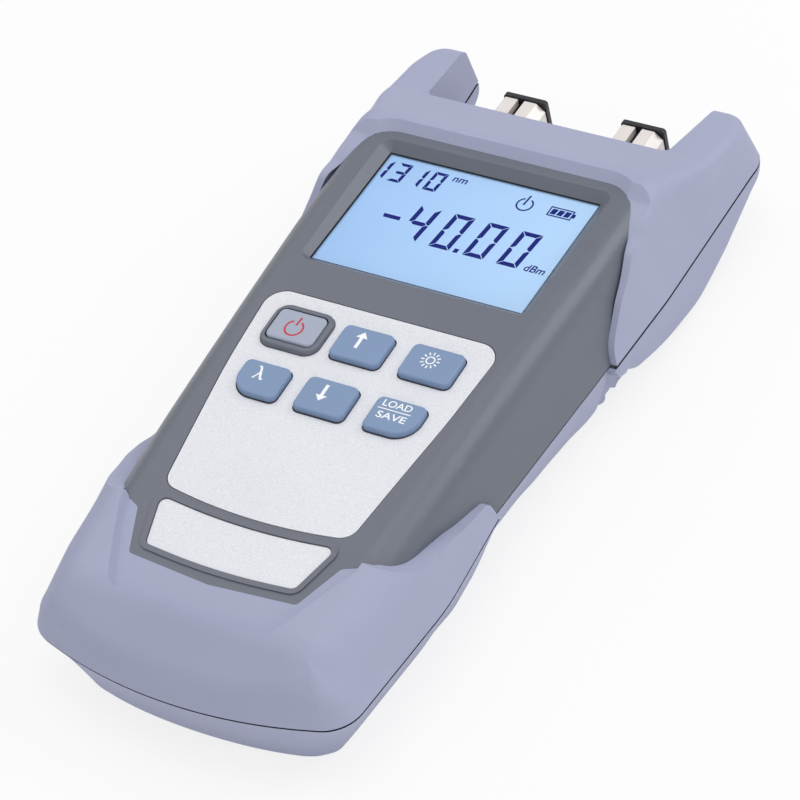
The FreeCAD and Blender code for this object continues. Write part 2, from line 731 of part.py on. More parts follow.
def build_label_plate():
    """The small silver plate below the keypad."""
    return node(face_slab("label_plate", PLATE, 0.0, dim("overlay_thickness") - 0.02), "label_plate")


def build_key(name):
    """One key: a softly rounded cap that follows the face, on a skirt that keeps it in."""
    base = dim("key_base")
    cap = new_body(name + "_cap")
    feature("Pad", sketch(cap, "XY_Plane", outline(key_corners(name)), base, "key_base"), 12.0)
    top = feature("Pocket", sketch(cap, "YZ_Plane", above_face(-dim("key_rise"))), THROUGH, symmetric=True)
    fillet(top, face_rim(top.Shape, -dim("key_rise"), -120, 35), "key_edge_radius")
    skirt = prism(name + "_skirt", key_corners(name, 0.9), base, base + 1.2)
    return node(fuse(name, [cap, skirt]), name)


def build_key_mat():
    """The rubber mat under the keys, with one dome under each."""
    top = dim("key_base") - dim("key_travel") - 0.2
    mat = prism("mat_sheet", rounded_rectangle(53.0, 30.5, 2.0, 0, -47.7), top - 2.6, top - 1.4)
    domes = []
    for name in KEYS:
        x, y = key_place(name)
        dome = doc.addObject("Part::Cone", "mat_dome")
        dome.Radius1, dome.Radius2, dome.Height = 4.0, 2.6, 1.6
        dome.Placement.Base = V(x, y, top - 1.6)
        domes.append(dome)
    return node(fuse("key_mat", [mat] + domes), "key_mat")


def build_display():
    """The clear window, the display cell, its light guide and its two connector strips."""
    width, length, middle = dim("display_width"), dim("display_length"), dim("display_centre")
    glass_top = FACE - dim("display_depth")
    low_y, high_y = middle - length / 2, middle + length / 2
    node(prism("display_window", rounded_rectangle(width + 3.6, length + 3.6, 1.0, 0, middle),
               glass_top - dim("window_thickness"), glass_top), "display_window")
    node(box("display_panel", (-29.0, low_y - 1.0, 31.6), (29.0, high_y + 1.0, 33.8)), "display_panel")
    node(box("backlight", (-28.0, low_y + 2.6, 29.0), (28.0, high_y - 1.0, 31.5)), "backlight")
    board_top = dim("board_height") + dim("board_thickness")
    node(box("display_connector", (-26.0, low_y - 0.4, board_top), (26.0, low_y + 2.2, 31.6)), "display_connector")


# ---------------------------------------------------------------- electronics

def build_board():
    """The main board with its corner notches and screw holes, and the parts soldered to it."""
    low = dim("board_height")
    top = low + dim("board_thickness")
    sheet_piece = prism("board_sheet", rounded_rectangle(64.0, 112.0, 2.0, 0, -22.0), low, top)
    tools = [box("board_notch", (side * 32.5 - 2.4, 24.2, 20.0), (side * 32.5 + 2.4, 40.0, 30.0)) for side in (-1, 1)]
    for x, y in BOARD_POSTS:
        tools.append(cylinder("board_hole", 1.1, 4.0, (x, y, low - 1.0)))
    node(cut("main_board", sheet_piece, tools), "main_board")
    chips = [box("chip", (-9, -6, low - 1.6), (5, 8, low)), box("chip", (12, -4, low - 1.4), (20, 6, low)),
             box("chip", (-24, -2, low - 1.2), (-16, 4, low)), box("chip", (-6, 14, low - 1.8), (2, 22, low)),
             box("chip", (8, 12, low - 2.4), (13, 21, low))]
    node(fuse("board_chips", chips), "board_chips")
    node(box("power_light", (-18.9, -31.4, top), (-16.5, -29.4, top + 1.2)),
         "power_light")


def screw(name, head_radius_mm, head_height, shank_radius, shank_length, base, axis):
    """One cross-head screw: head, shank and drive recess, standing on base and pointing along axis."""
    head = cylinder(name + "_head", head_radius_mm, head_height, base, axis)
    shank = cylinder(name + "_shank", shank_radius, shank_length + head_height, base, axis)
    slot = box(name + "_slot", (-head_radius_mm * 0.65, -0.25, -0.1), (head_radius_mm * 0.65, 0.25, 0.6))
    slot.Placement = FreeCAD.Placement(V(*base), FreeCAD.Rotation(V(0, 0, 1), V(*axis))).multiply(slot.Placement)
    return cut(name, fuse(name + "_blank", [head, shank]), [slot])


def screw_group(label, screws):
    """Several equal screws as one node made of separate solids."""
    group = doc.addObject("Part::Compound", label)
    group.Links = screws
    doc.recompute()
    return node(group, label)


def build_screws():
    """The case screws, the board screws and the flange screws."""
    screw_group("case_screws", [screw("case_screw", 2.6, 2.2, 1.0, 13.5, (x, y, 5.8), (0, 0, 1))
                                for x, y in BOSSES])
    low = dim("board_height")
    screw_group("board_screws", [screw("board_screw", 1.8, 1.2, 0.8, 3.8, (x, y, low - 1.2), (0, 0, 1))
                                 for x, y in BOARD_POSTS])
    screw_group("flange_screws", [screw("flange_screw", 1.3, 1.0, 0.7, 3.2, (x, 34.3, z), (0, 1, 0))
                                  for x, z in FLANGE_SCREWS])


# ---------------------------------------------------------------- fibre ports

def port_section(x, width, chamfer):
    """Section of an adapter in the front view: a square with one upper corner cut off and the other eased."""
    half = width / 2
    z = PARTING
    return [(x - half, z - half), (x + half, z - half), (x + half, z + half - chamfer), (x + half - chamfer, z + half),
            (x - half + 0.5, z + half), (x - half, z + half - 0.5)]


def port_block(name, corners, near, far):
    """An outline in the front view run along Y between two places."""
    body = new_body(name)
    edges = outline([(x, z) for x, z in corners])
    drawing = sketch(body, "XZ_Plane", edges, -far)
    feature("Pad", drawing, far - near)
    return body


def build_port(side, suffix):
    """One fibre port: adapter body with flange, keyway and bore, and the sleeve inside it."""
    x = side * dim("port_offset")
    front = dim("port_front")
    block = port_block("port_block", port_section(x, dim("port_width"), 2.1), 30.0, front)
    flange = box("port_flange", (x - 9.0, 35.3, PARTING - 6.8), (x + 9.0, 36.8, PARTING + 6.8))
    bore = box("port_bore", (x - 4.5, 40.0, PARTING - 3.8), (x + 4.5, front + 1, PARTING + 3.8))
    keyway = box("port_keyway", (x - 1.65, 45.5, PARTING + 3.0), (x + 0.15, front + 1, PARTING + 8.0))
    channel = cylinder("port_channel", 2.3, 12.0, (x, 29.5, PARTING), (0, 1, 0))
    holes = [cylinder("flange_hole", 0.8, 3.0, (hx, 34.8, hz), (0, 1, 0)) for hx, hz in FLANGE_SCREWS
             if abs(hx - x) < 8]
    body = fuse("port_body", [block, flange])
    node(cut("port_" + suffix, body, [bore, keyway, channel] + holes), "port_" + suffix)
    sleeve = cylinder("sleeve_outer", 2.25, 20.5, (x, 30.5, PARTING), (0, 1, 0))
    hole = cylinder("sleeve_hole", "ferrule_radius", 21.5, (x, 30.0, PARTING), (0, 1, 0))
    node(cut("sleeve_" + suffix, sleeve, [hole]), "sleeve_" + suffix)


def build_cap(side, suffix):
    """One dust cap: a square end plate on a hollow plug."""
    x = side * dim("port_offset")
    near = dim("port_front") + 0.2
    half = dim("cap_width") / 2
    plate = prism_between("cap_plate", rounded_rectangle(2 * half, 2 * half, 0.8, x, PARTING), near,
                          near + dim("cap_thickness"))
    plug = box("cap_plug", (x - 4.3, 53.0, PARTING - 3.6), (x + 4.3, near + 0.2, PARTING + 3.6))
    room = cylinder("cap_room", 2.6, 6.0, (x, 52.0, PARTING), (0, 1, 0))
    node(cut("dust_cap_" + suffix, fuse("cap_body", [plate, plug]), [room]), "dust_cap_" + suffix)


def prism_between(name, corners, near, far):
    """A body padded along Y from an outline in the front view."""
    body = new_body(name)
    drawing = sketch(body, "XZ_Plane", outline(corners), -far)
    feature("Pad", drawing, far - near)
    return body


def build_optics():
    """The detector behind one port, the light source behind the other, and the fibre between."""
    x = dim("port_offset")
    can = cylinder("detector_can", 3.4, 5.0, (-x, 24.6, PARTING), (0, 1, 0))
    rim = cylinder("detector_rim", 4.2, 1.0, (-x, 23.6, PARTING), (0, 1, 0))
    legs = [cylinder("detector_leg", 0.3, 4.0, (-x + dx, 19.8, PARTING + dz), (0, 1, 0))
            for dx, dz in ((-1.4, 0.8), (1.4, 0.8), (0, -1.6))]
    node(fuse("detector", [can, rim] + legs), "detector")
    node(prism_between("source_module", rounded_rectangle(13.0, 9.0, 0.8, x, PARTING), 12.0, 29.6), "source_module")
    loop = doc.addObject("Part::Torus", "fibre_pigtail")
    loop.Radius1, loop.Radius2, loop.Angle3 = 10.0, 0.45, 180.0
    loop.Placement = FreeCAD.Placement(V(x - 10.0, 11.8, PARTING), FreeCAD.Rotation(V(0, 0, 1), 180))
    node(loop, "fibre_pigtail")


# ---------------------------------------------------------------- batteries

CELL_HEIGHT = 11.3
CELL_LOW_END = -64.4


def build_cell(number):
    """One battery cell with its raised button, alternating in direction."""
    x = (number - 2) * dim("cell_pitch")
    way = 1 if number != 2 else -1
    can = cylinder("cell_can", "cell_radius", dim("cell_length"), (x, CELL_LOW_END, CELL_HEIGHT), (0, 1, 0))
    end = CELL_LOW_END + dim("cell_length") if way > 0 else CELL_LOW_END
    button = cylinder("cell_button", 2.7, 1.2, (x, end - 0.2 * way, CELL_HEIGHT), (0, way, 0))
    node(fuse(f"cell_{number}", [can, button]), f"cell_{number}")


def build_contacts():
    """Conical springs at the flat ends of the cells and sprung plates at the button ends."""
    springs, plates = [], []
    for number in (1, 2, 3):
        x = (number - 2) * dim("cell_pitch")
        way = 1 if number != 2 else -1
        flat_end = CELL_LOW_END if way > 0 else CELL_LOW_END + dim("cell_length")
        button_end = CELL_LOW_END + dim("cell_length") + 1.0 if way > 0 else CELL_LOW_END - 1.0
        wall = dim("bay_low_end") if way > 0 else dim("bay_high_end")
        cone = doc.addObject("Part::Cone", "spring_cone")
        cone.Radius1, cone.Radius2, cone.Height = 4.6, 2.8, abs(flat_end - wall)
        cone.Placement = FreeCAD.Placement(V(x, wall, CELL_HEIGHT), FreeCAD.Rotation(V(0, 0, 1), V(0, way, 0)))
        room = cylinder("spring_room", 2.2, 8.0, (x, wall - way, CELL_HEIGHT), (0, way, 0))
        springs.append(cut("spring", cone, [room]))
        far_wall = dim("bay_high_end") if way > 0 else dim("bay_low_end")
        low, high = sorted((button_end, far_wall))
        plates.append(box("contact_plate", (x - 4.0, low, CELL_HEIGHT - 5.0), (x + 4.0, high, CELL_HEIGHT + 4.0)))
    screw_group("contact_springs", springs)
    screw_group("contact_plates", plates)


# ---------------------------------------------------------------- assembly

core = core_solid()
build_front_case(core)
build_top_bumper(head_solid(), core)
build_bottom_boot(foot_solid(), core)
build_rear_case()
build_battery_door()
build_overlay()
build_label_plate()
for key_name in KEYS:
    build_key(key_name)
build_key_mat()
build_display()
build_board()
build_screws()
for port_side, port_suffix in ((-1, "left"), (1, "right")):
    build_port(port_side, port_suffix)
    build_cap(port_side, port_suffix)
build_optics()
for cell_number in (1, 2, 3):
    build_cell(cell_number)
build_contacts()
doc.recompute()

for item in doc.Objects:
    if "Invalid" in item.State or "Error" in item.State:
        raise RuntimeError(f"{item.Name} did not build: {item.State}")

os.makedirs("parts", exist_ok=True)
for item in NODES:
    if item.Shape.isNull() or not item.Shape.isValid():
        raise RuntimeError(f"{item.Label} has no valid shape")
    item.Shape.exportStep(f"parts/{item.Label}.step")
    print(item.Label, len(item.Shape.Solids), round(item.Shape.Volume, 1))
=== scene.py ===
"""Looks of a handheld optical power meter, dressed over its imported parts."""
import json
import logging
import math
from dataclasses import dataclass, field
from enum import Enum
from typing import Callable, Iterable, Sequence

import bmesh
import bpy
from mathutils import Matrix, Vector


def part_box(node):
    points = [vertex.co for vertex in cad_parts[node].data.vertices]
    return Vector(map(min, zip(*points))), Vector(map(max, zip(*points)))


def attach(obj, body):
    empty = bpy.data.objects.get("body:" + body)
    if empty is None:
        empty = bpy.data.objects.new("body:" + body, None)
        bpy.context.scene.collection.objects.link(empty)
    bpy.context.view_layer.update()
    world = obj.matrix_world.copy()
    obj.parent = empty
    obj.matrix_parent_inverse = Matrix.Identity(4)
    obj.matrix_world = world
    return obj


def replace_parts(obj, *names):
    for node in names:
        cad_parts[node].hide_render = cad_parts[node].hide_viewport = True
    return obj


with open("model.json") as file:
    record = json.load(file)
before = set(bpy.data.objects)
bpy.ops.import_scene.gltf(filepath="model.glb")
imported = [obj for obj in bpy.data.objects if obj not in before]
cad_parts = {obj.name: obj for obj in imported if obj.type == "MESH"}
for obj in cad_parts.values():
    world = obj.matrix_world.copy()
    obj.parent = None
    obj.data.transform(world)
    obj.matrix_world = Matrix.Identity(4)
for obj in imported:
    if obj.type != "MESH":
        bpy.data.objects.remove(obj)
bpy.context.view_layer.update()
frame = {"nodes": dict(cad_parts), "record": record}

LOG = logging.getLogger("power_meter")
MM = 0.001
Colour = tuple[float, float, float]
Point = tuple[float, float]


# ---------------------------------------------------------------- shader arithmetic

class Wire:
    """A shader value that can be used in a Python expression."""

    def __init__(self, recipe: "Recipe", socket: bpy.types.NodeSocket) -> None:
        """Wrap one output socket of a recipe's node."""
        self.recipe = recipe
        self.socket = socket

    def _math(self, operation: str, left: "Wire | float", right: "Wire | float") -> "Wire":
        """Add one Math node.

        Args:
            operation: The node's operation.
            left: First operand.
            right: Second operand.

        Returns:
            The node's value.
        """
        node = self.recipe.node("ShaderNodeMath", {"operation": operation}, {0: left, 1: right})
        return Wire(self.recipe, node.outputs[0])

    def __add__(self, other: "Wire | float") -> "Wire":
        """Sum of two values."""
        return self._math("ADD", self, other)

    def __radd__(self, other: float) -> "Wire":
        """Sum of two values, number first."""
        return self._math("ADD", other, self)

    def __sub__(self, other: "Wire | float") -> "Wire":
        """Difference of two values."""
        return self._math("SUBTRACT", self, other)

    def __mul__(self, other: "Wire | float") -> "Wire":
        """Product of two values."""
        return self._math("MULTIPLY", self, other)

    def __gt__(self, other: "Wire | float") -> "Wire":
        """One where this value is greater, and nought elsewhere."""
        return self._math("GREATER_THAN", self, other)


class Recipe:
    """The node tree of one material while it is being put together."""

    def __init__(self, name: str) -> None:
        """Start a material with a Principled shader."""
        self.material = bpy.data.materials.new(name)
        self.material.use_nodes = True
        self.tree = self.material.node_tree
        self.shader = self.tree.nodes["Principled BSDF"]

    def node(self, kind: str, settings: dict | None = None, sockets: dict | None = None) -> bpy.types.Node:
        """Add one node.

        Args:
            kind: Blender's name of the node type.
            settings: Properties to set first, such as an operation or a ramp's stops.
            sockets: Values or wires by input name or index.

        Returns:
            The new node.
        """
        node = self.tree.nodes.new(kind)
        for key, value in (settings or {}).items():
            if key == "stops":
                self._stops(node, value)
            else:
                setattr(node, key, value)
        for key, value in (sockets or {}).items():
            self.feed(node.inputs[key], value)
        return node

    def _stops(self, node: bpy.types.Node, stops: Sequence[tuple[float, Colour]]) -> None:
        """Set the stops of a colour ramp."""
        elements = node.color_ramp.elements
        while len(elements) < len(stops):
            elements.new(0.5)
        for element, (place, colour) in zip(elements, stops):
            element.position = place
            element.color = (*colour, 1.0)

    def feed(self, socket: bpy.types.NodeSocket, value: object) -> None:
        """Link a wire to a socket, or set the socket's own value."""
        if isinstance(value, Wire):
            self.tree.links.new(value.socket, socket)
        elif isinstance(value, bpy.types.NodeSocket):
            self.tree.links.new(value, socket)
        else:
            socket.default_value = value

    def place(self, stretch: Sequence[float] = (1.0, 1.0, 1.0)) -> bpy.types.NodeSocket:
        """Object coordinates in metres, stretched along the axes."""
        coordinates = self.node("ShaderNodeTexCoord").outputs["Object"]
        mapping = self.node("ShaderNodeMapping", {}, {"Vector": coordinates, "Scale": stretch})
        return mapping.outputs["Vector"]

    def along(self, axis: str) -> Wire:
        """The Object coordinate along one axis, in metres."""
        return Wire(self, self.node("ShaderNodeSeparateXYZ", {}, {0: self.place()}).outputs[axis])

    def noise(self, size: float, detail: float = 2.0, stretch: Sequence[float] = (1.0, 1.0, 1.0)) -> Wire:
        """Soft noise.

        Args:
            size: Size of one patch in metres.
            detail: How many finer layers are added.
            stretch: Scale of the coordinates along X, Y and Z.

        Returns:
            A value around a half.
        """
        node = self.node("ShaderNodeTexNoise", {}, {"Vector": self.place(stretch), "Scale": 1.0 / size,
                                                    "Detail": detail, "Roughness": 0.55})
        return Wire(self, node.outputs["Fac"])

    def blend(self, first: object, second: object, share: Wire) -> bpy.types.NodeSocket:
        """Mix two colours, or colour sockets, by a value."""
        ends = [(*end, 1.0) if isinstance(end, tuple) else end for end in (first, second)]
        node = self.node("ShaderNodeMix", {"data_type": "RGBA"}, {0: share, 6: ends[0], 7: ends[1]})
        return node.outputs[2]

    def bump(self, height: Wire, depth: float, strength: float = 1.0) -> None:
        """Give the shader a bump from a height value and its depth in metres."""
        node = self.node("ShaderNodeBump", {}, {"Height": height, "Distance": depth, "Strength": strength})
        self.feed(self.shader.inputs["Normal"], node.outputs["Normal"])

    def set(self, **values: object) -> None:
        """Feed the shader's inputs, named with underscores for spaces."""
        for key, value in values.items():
            self.feed(self.shader.inputs[key.replace("_", " ")], value)


def shaded(colour: Colour, factor: float) -> Colour:
    """A colour made lighter or darker."""
    return tuple(min(1.0, channel * factor) for channel in colour)


def srgb(red: int, green: int, blue: int) -> Colour:
    """Linear colour of a display colour given as 0 to 255."""
    return tuple(c / 12.92 if c <= 0.04045 else ((c + 0.055) / 1.055) ** 2.4
                 for c in (red / 255, green / 255, blue / 255))


BUMPER_SHADE = srgb(163, 167, 193)
# painted shadow: colour of the rear shell above its seam, for the shade in the groove between the shells
SEAM_PAINTED_SHADOW = srgb(52, 55, 70)
SEAM_HEIGHT = 15.27 * MM


# ---------------------------------------------------------------- finishes

@dataclass(frozen=True)
class MouldedPlastic:
    """Spark-eroded moulded plastic or soft rubber: fine grain and a faint drift of shade."""

    name: str
    colour: Colour
    roughness: float = 0.5
    grain: float = 0.35 * MM
    depth: float = 0.012 * MM
    drift: float = 0.03
    # height above which the painted seam shadow is laid, or None for none
    seam: float | None = None

    def material(self) -> bpy.types.Material:
        """Build the material, with painted shadow above the height of its seam if it has one, for the shade
        in the groove between the shells.
        """
        recipe = Recipe(self.name)
        cloud = recipe.noise(22 * MM, 2.0)
        grain = recipe.noise(self.grain, 1.0)
        dark, pale = (shaded(self.colour, 1 + 2 * way * self.drift) for way in (-1, 1))
        skin = recipe.blend(dark, pale, cloud * 0.75 + grain * 0.25)
        # painted shadow in the groove at the seam
        if self.seam is not None:
            skin = recipe.blend(skin, SEAM_PAINTED_SHADOW, recipe.along("Z") > self.seam)
        recipe.set(Base_Color=skin, Roughness=grain * 0.12 + cloud * 0.06 + (self.roughness - 0.09))
        recipe.bump(grain, self.depth)
        return recipe.material


@dataclass(frozen=True)
class SilverPaint:
    """Silver painted sheet with very fine metal flakes."""

    name: str
    colour: Colour
    roughness: float = 0.42
    flake: float = 0.3 * MM

    def material(self) -> bpy.types.Material:
        """Build the material."""
        recipe = Recipe(self.name)
        flakes = recipe.noise(self.flake, 0.0)
        cloud = recipe.noise(30 * MM, 1.0)
        recipe.set(Base_Color=recipe.blend(shaded(self.colour, 0.8), shaded(self.colour, 1.2),
                                           flakes * 0.8 + cloud * 0.2),
                   Metallic=0.12, Roughness=flakes * 0.16 + (self.roughness - 0.08))
        recipe.bump(flakes, 0.004 * MM)
        return recipe.material


@dataclass(frozen=True)
class PlatedMetal:
    """Plated or drawn metal with fine lines along one axis."""

    name: str
    colour: Colour
    roughness: float = 0.3
    stretch: tuple[float, float, float] = (1.0, 0.06, 1.0)
    metallic: float = 1.0

    def material(self) -> bpy.types.Material:
        """Build the material."""
        recipe = Recipe(self.name)
        lines = recipe.noise(0.3 * MM, 2.0, self.stretch)
        stain = recipe.noise(5 * MM, 2.0)
        recipe.set(Base_Color=recipe.blend(shaded(self.colour, 0.88), shaded(self.colour, 1.06),
                                           lines * 0.5 + stain * 0.5),
                   Metallic=self.metallic, Roughness=lines * 0.2 + (self.roughness - 0.1))
        recipe.bump(lines, 0.006 * MM)
        return recipe.material


@dataclass(frozen=True)
class DisplayGlow:
    """The lit field of the display, paler towards one side."""

    name: str
    near: Colour
    far: Colour
    half_width: float = 28 * MM
    glow: float = 0.2

    def material(self) -> bpy.types.Material:
        """Build the material."""
        recipe = Recipe(self.name)
        share = recipe.along("X") * (0.5 / self.half_width) + 0.5
        patch = recipe.noise(9 * MM, 1.0)
        colour = recipe.blend(self.near, self.far, share + patch * 0.08 - 0.04)
        recipe.set(Base_Color=colour, Emission_Color=colour, Emission_Strength=self.glow, Roughness=0.5,
                   Specular_IOR_Level=0.1)
        return recipe.material


@dataclass(frozen=True)
class ClearWindow:
    """A clear window that shows little more than its gloss."""

    name: str
    tint: Colour = (0.1, 0.13, 0.2)
    alpha: float = 0.02

    def material(self) -> bpy.types.Material:
        """Build the material."""
        recipe = Recipe(self.name)
        haze = recipe.noise(12 * MM, 2.0)
        recipe.set(Base_Color=(*self.tint, 1.0), Alpha=haze * 0.02 + self.alpha, Roughness=haze * 0.05 + 0.04,
                   Specular_IOR_Level=0.2)
        return recipe.material


@dataclass(frozen=True)
class PrintedInk:
    """Screen-printed ink or a lit segment: an even colour with a little tooth."""

    name: str
    colour: Colour
    roughness: float = 0.5
    gloss: float = 0.5

    def material(self) -> bpy.types.Material:
        """Build the material."""
        recipe = Recipe(self.name)
        tooth = recipe.noise(0.12 * MM, 1.0)
        recipe.set(Base_Color=recipe.blend(shaded(self.colour, 0.95), shaded(self.colour, 1.05), tooth),
                   Roughness=tooth * 0.1 + (self.roughness - 0.05), Specular_IOR_Level=self.gloss)
        return recipe.material


class Finishes(Enum):
    """Every finish of the meter."""

    GREY_SHELL = MouldedPlastic("grey_shell_plastic", srgb(104, 108, 119), 0.38, grain=0.45 * MM,
                                depth=0.02 * MM)
    SOFT_BLUE = MouldedPlastic("soft_blue_rubber", BUMPER_SHADE, 0.58, depth=0.01 * MM)
    # rear shell rubber with painted shadow above its seam
    SHELL_BLUE = MouldedPlastic("soft_blue_rubber_with_painted_seam_shadow", BUMPER_SHADE, 0.58, depth=0.01 * MM,
                                seam=SEAM_HEIGHT)
    SILVER = SilverPaint("silver_overlay_paint", srgb(224, 225, 230))
    KEY_BLUE = MouldedPlastic("key_blue_plastic", srgb(124, 147, 181), 0.45, grain=0.25 * MM,
                              depth=0.006 * MM)
    KEY_PALE = MouldedPlastic("key_pale_plastic", srgb(163, 170, 188), 0.4, grain=0.25 * MM,
                              depth=0.006 * MM)
    WHITE_INK = PrintedInk("white_key_ink", srgb(246, 248, 252))
    RED_INK = PrintedInk("red_key_ink", srgb(196, 38, 46))
    SEGMENT = PrintedInk("display_segment", srgb(22, 32, 124), 0.6, gloss=0.1)
    # painted shadow for the shaded wall at the edges of the display glass
    GASKET = PrintedInk("display_painted_edge_shadow", srgb(24, 25, 30), 0.8, gloss=0.2)
    FIELD = DisplayGlow("display_field_glow", srgb(160, 195, 237), srgb(174, 206, 239))
    WINDOW = ClearWindow("display_window_clear")
    PORT_METAL = PlatedMetal("port_nickel", srgb(243, 236, 230), 0.45, metallic=0.4)
    SCREW_METAL = PlatedMetal("screw_plating", srgb(190, 190, 194), 0.35)
    CAP_BLACK = MouldedPlastic("cap_black_plastic", srgb(42, 41, 46), 0.45, grain=0.2 * MM)
    MAT_RUBBER = MouldedPlastic("mat_rubber", srgb(50, 50, 54), 0.7)
    BOARD = MouldedPlastic("board_solder_mask", srgb(34, 96, 58), 0.3, grain=0.8 * MM)
    CHIP = MouldedPlastic("chip_resin", srgb(36, 36, 38), 0.55, grain=0.1 * MM)
    SLEEVE = MouldedPlastic("sleeve_ceramic", srgb(236, 236, 228), 0.2, grain=0.1 * MM, depth=0.001 * MM)
    GOLD = PlatedMetal("optics_gold", srgb(214, 178, 110), 0.25)
    FIBRE = MouldedPlastic("fibre_coating", srgb(232, 206, 60), 0.3, grain=0.2 * MM, depth=0.002 * MM)
    CELL = PlatedMetal("cell_wrap", srgb(70, 72, 84), 0.3, (1.0, 1.0, 0.2), 0.4)
    LIGHT_GUIDE = MouldedPlastic("light_guide_resin", srgb(236, 240, 246), 0.2, grain=0.4 * MM,
                                 depth=0.002 * MM)

    def material(self) -> bpy.types.Material:
        """The finish as a material, built once."""
        found = bpy.data.materials.get(self.value.name)
        return found or self.value.material()


SLOT_FINISH: dict[str, Finishes] = {
    "grey_shell": Finishes.GREY_SHELL, "bumper_blue": Finishes.SOFT_BLUE, "silver_sheet": Finishes.SILVER,
    "key_blue": Finishes.KEY_BLUE, "key_pale": Finishes.KEY_PALE, "mat_rubber": Finishes.MAT_RUBBER,
    "display_clear": Finishes.WINDOW, "display_blue": Finishes.FIELD, "light_guide": Finishes.LIGHT_GUIDE,
    "board_green": Finishes.BOARD, "chip_black": Finishes.CHIP, "screw_steel": Finishes.SCREW_METAL,
    "port_metal": Finishes.PORT_METAL, "sleeve_white": Finishes.SLEEVE, "cap_black": Finishes.CAP_BLACK,
    "gold_can": Finishes.GOLD, "fibre_yellow": Finishes.FIBRE, "cell_skin": Finishes.CELL,
}


# ---------------------------------------------------------------- mesh helpers

FACE_TOP = 37 * MM
FACE_RADIUS = 1200 * MM
FACE_FLAT_END = 20 * MM
WELD = 0.002 * MM
SLIVER = 0.001 * MM
BEVEL_ANGLE = 35


def face_height(y: float) -> float:
    """Height of the face at a place along the meter: flat at the display, in an arc down to the boot."""
    run = min(0.0, y - FACE_FLAT_END)
    return FACE_TOP - FACE_RADIUS + math.sqrt(FACE_RADIUS ** 2 - run ** 2)


def new_piece(name: str, shape: bmesh.types.BMesh, finish: Finishes, body: str,
              smooth_angle: float = 30.0) -> bpy.types.Object:
    """Turn a bmesh into a finished piece.

    Args:
        name: Name of the piece.
        shape: The bmesh, which is freed.
        finish: Its finish.
        body: The CAD body that it rides on.
        smooth_angle: Edges sharper than this angle in degrees stay crisp.

    Returns:
        The new object.
    """
    mesh = bpy.data.meshes.new(name)
    for edge in shape.edges:
        edge.smooth = len(edge.link_faces) == 2 and edge.calc_face_angle(0.0) < math.radians(smooth_angle)
    for face in shape.faces:
        face.smooth = True
    shape.to_mesh(mesh)
    shape.free()
    piece = bpy.data.objects.new(name, mesh)
    bpy.context.scene.collection.objects.link(piece)
    mesh.materials.append(finish.material())
    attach(piece, body)
    LOG.info("made %s with %d faces on %s", name, len(mesh.polygons), body)
    return piece


def cad_skin(node: str, name: str, finish: Finishes, body: str, bevel: float = 0.0,
             shaping: Sequence["Push | Mellow"] = ()) -> bpy.types.Object:
    """A smooth-shaded skin over one CAD node, which it replaces.

    Args:
        node: The CAD node.
        name: Name of the new piece.
        finish: Its finish.
        body: The CAD body that it rides on.
        bevel: Width of the broken edges in metres, or 0 for none.
        shaping: Shaping moves, if any.

    Returns:
        The new object.
    """
    shape = bmesh.new()
    shape.from_mesh(frame["nodes"][node].data)
    bmesh.ops.remove_doubles(shape, verts=shape.verts, dist=WELD)
    bmesh.ops.dissolve_degenerate(shape, edges=shape.edges, dist=SLIVER)
    if shaping:
        sculpt(shape, shaping)
    piece = new_piece(name, shape, finish, body)
    if bevel:
        modifier = piece.modifiers.new("broken_edges", "BEVEL")
        modifier.width = bevel
        modifier.segments = 2
        modifier.limit_method = "ANGLE"
        modifier.angle_limit = math.radians(BEVEL_ANGLE)
        modifier.harden_normals = True
    modifier = piece.modifiers.new("even_shading", "WEIGHTED_NORMAL")
    modifier.keep_sharp = True
    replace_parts(piece, node)
    return piece


def flat_plate(shape: bmesh.types.BMesh, corners: Iterable[Point], low: float, high: float) -> list:
    """Add a flat plate to a bmesh: one face of a few corners, drawn upwards.

    Args:
        shape: The bmesh to add to.
        corners: Corners in metres, anticlockwise from above.
        low: Height of the underside.
        high: Height of the top.

    Returns:
        The new vertices.
    """
    ring = [shape.verts.new((x, y, low)) for x, y in corners]
    face = shape.faces.new(ring)
    drawn = bmesh.ops.extrude_face_region(shape, geom=[face])
    upper = [item for item in drawn["geom"] if isinstance(item, bmesh.types.BMVert)]
    bmesh.ops.translate(shape, verts=upper, vec=(0, 0, high - low))
    return ring + upper


def oblong(x0: float, y0: float, x1: float, y1: float) -> list[Point]:
    """Corners of an upright oblong, anticlockwise from above."""
    return [(x0, y0), (x1, y0), (x1, y1), (x0, y1)]


def scaled(corners: Iterable[Point]) -> list[Point]:
    """Corners given in millimetres, in metres."""
    return [(x * MM, y * MM) for x, y in corners]


def band(shape: bmesh.types.BMesh, x: float, y: float, inner: float, outer: float, low: float, high: float,
         start: float = 0.0, sweep: float = 360.0, count: int = 32) -> None:
    """Add a flat ring, or a stretch of one, made of short plates.

    Args:
        shape: The bmesh to add to.
        x: Middle of the ring in metres.
        y: Middle of the ring in metres.
        inner: Inner radius.
        outer: Outer radius.
        low: Height of the underside.
        high: Height of the top.
        start: Angle of the first end in degrees, from X towards Y.
        sweep: Angle of the stretch, 360 for a whole ring.
        count: Number of plates.
    """
    step = sweep / count
    profile = [(x + r * math.cos(math.radians(start)), y + r * math.sin(math.radians(start)), z)
               for r, z in ((inner, low), (outer, low), (outer, high), (inner, high))]
    ring = [shape.verts.new(point) for point in profile]
    edges = [shape.edges.new((ring[i], ring[(i + 1) % 4])) for i in range(4)]
    closed = sweep >= 360.0
    bmesh.ops.spin(shape, geom=ring + edges, cent=(x, y, 0), axis=(0, 0, 1), angle=math.radians(step * count),
                   steps=count, use_merge=closed, use_duplicate=False)
    if not closed:
        bmesh.ops.holes_fill(shape, edges=[edge for edge in shape.edges if edge.is_boundary], sides=4)


LETTER_BODY = 0.02
LETTER_SQUASH = 0.0005
LETTER_SWELL = 0.012


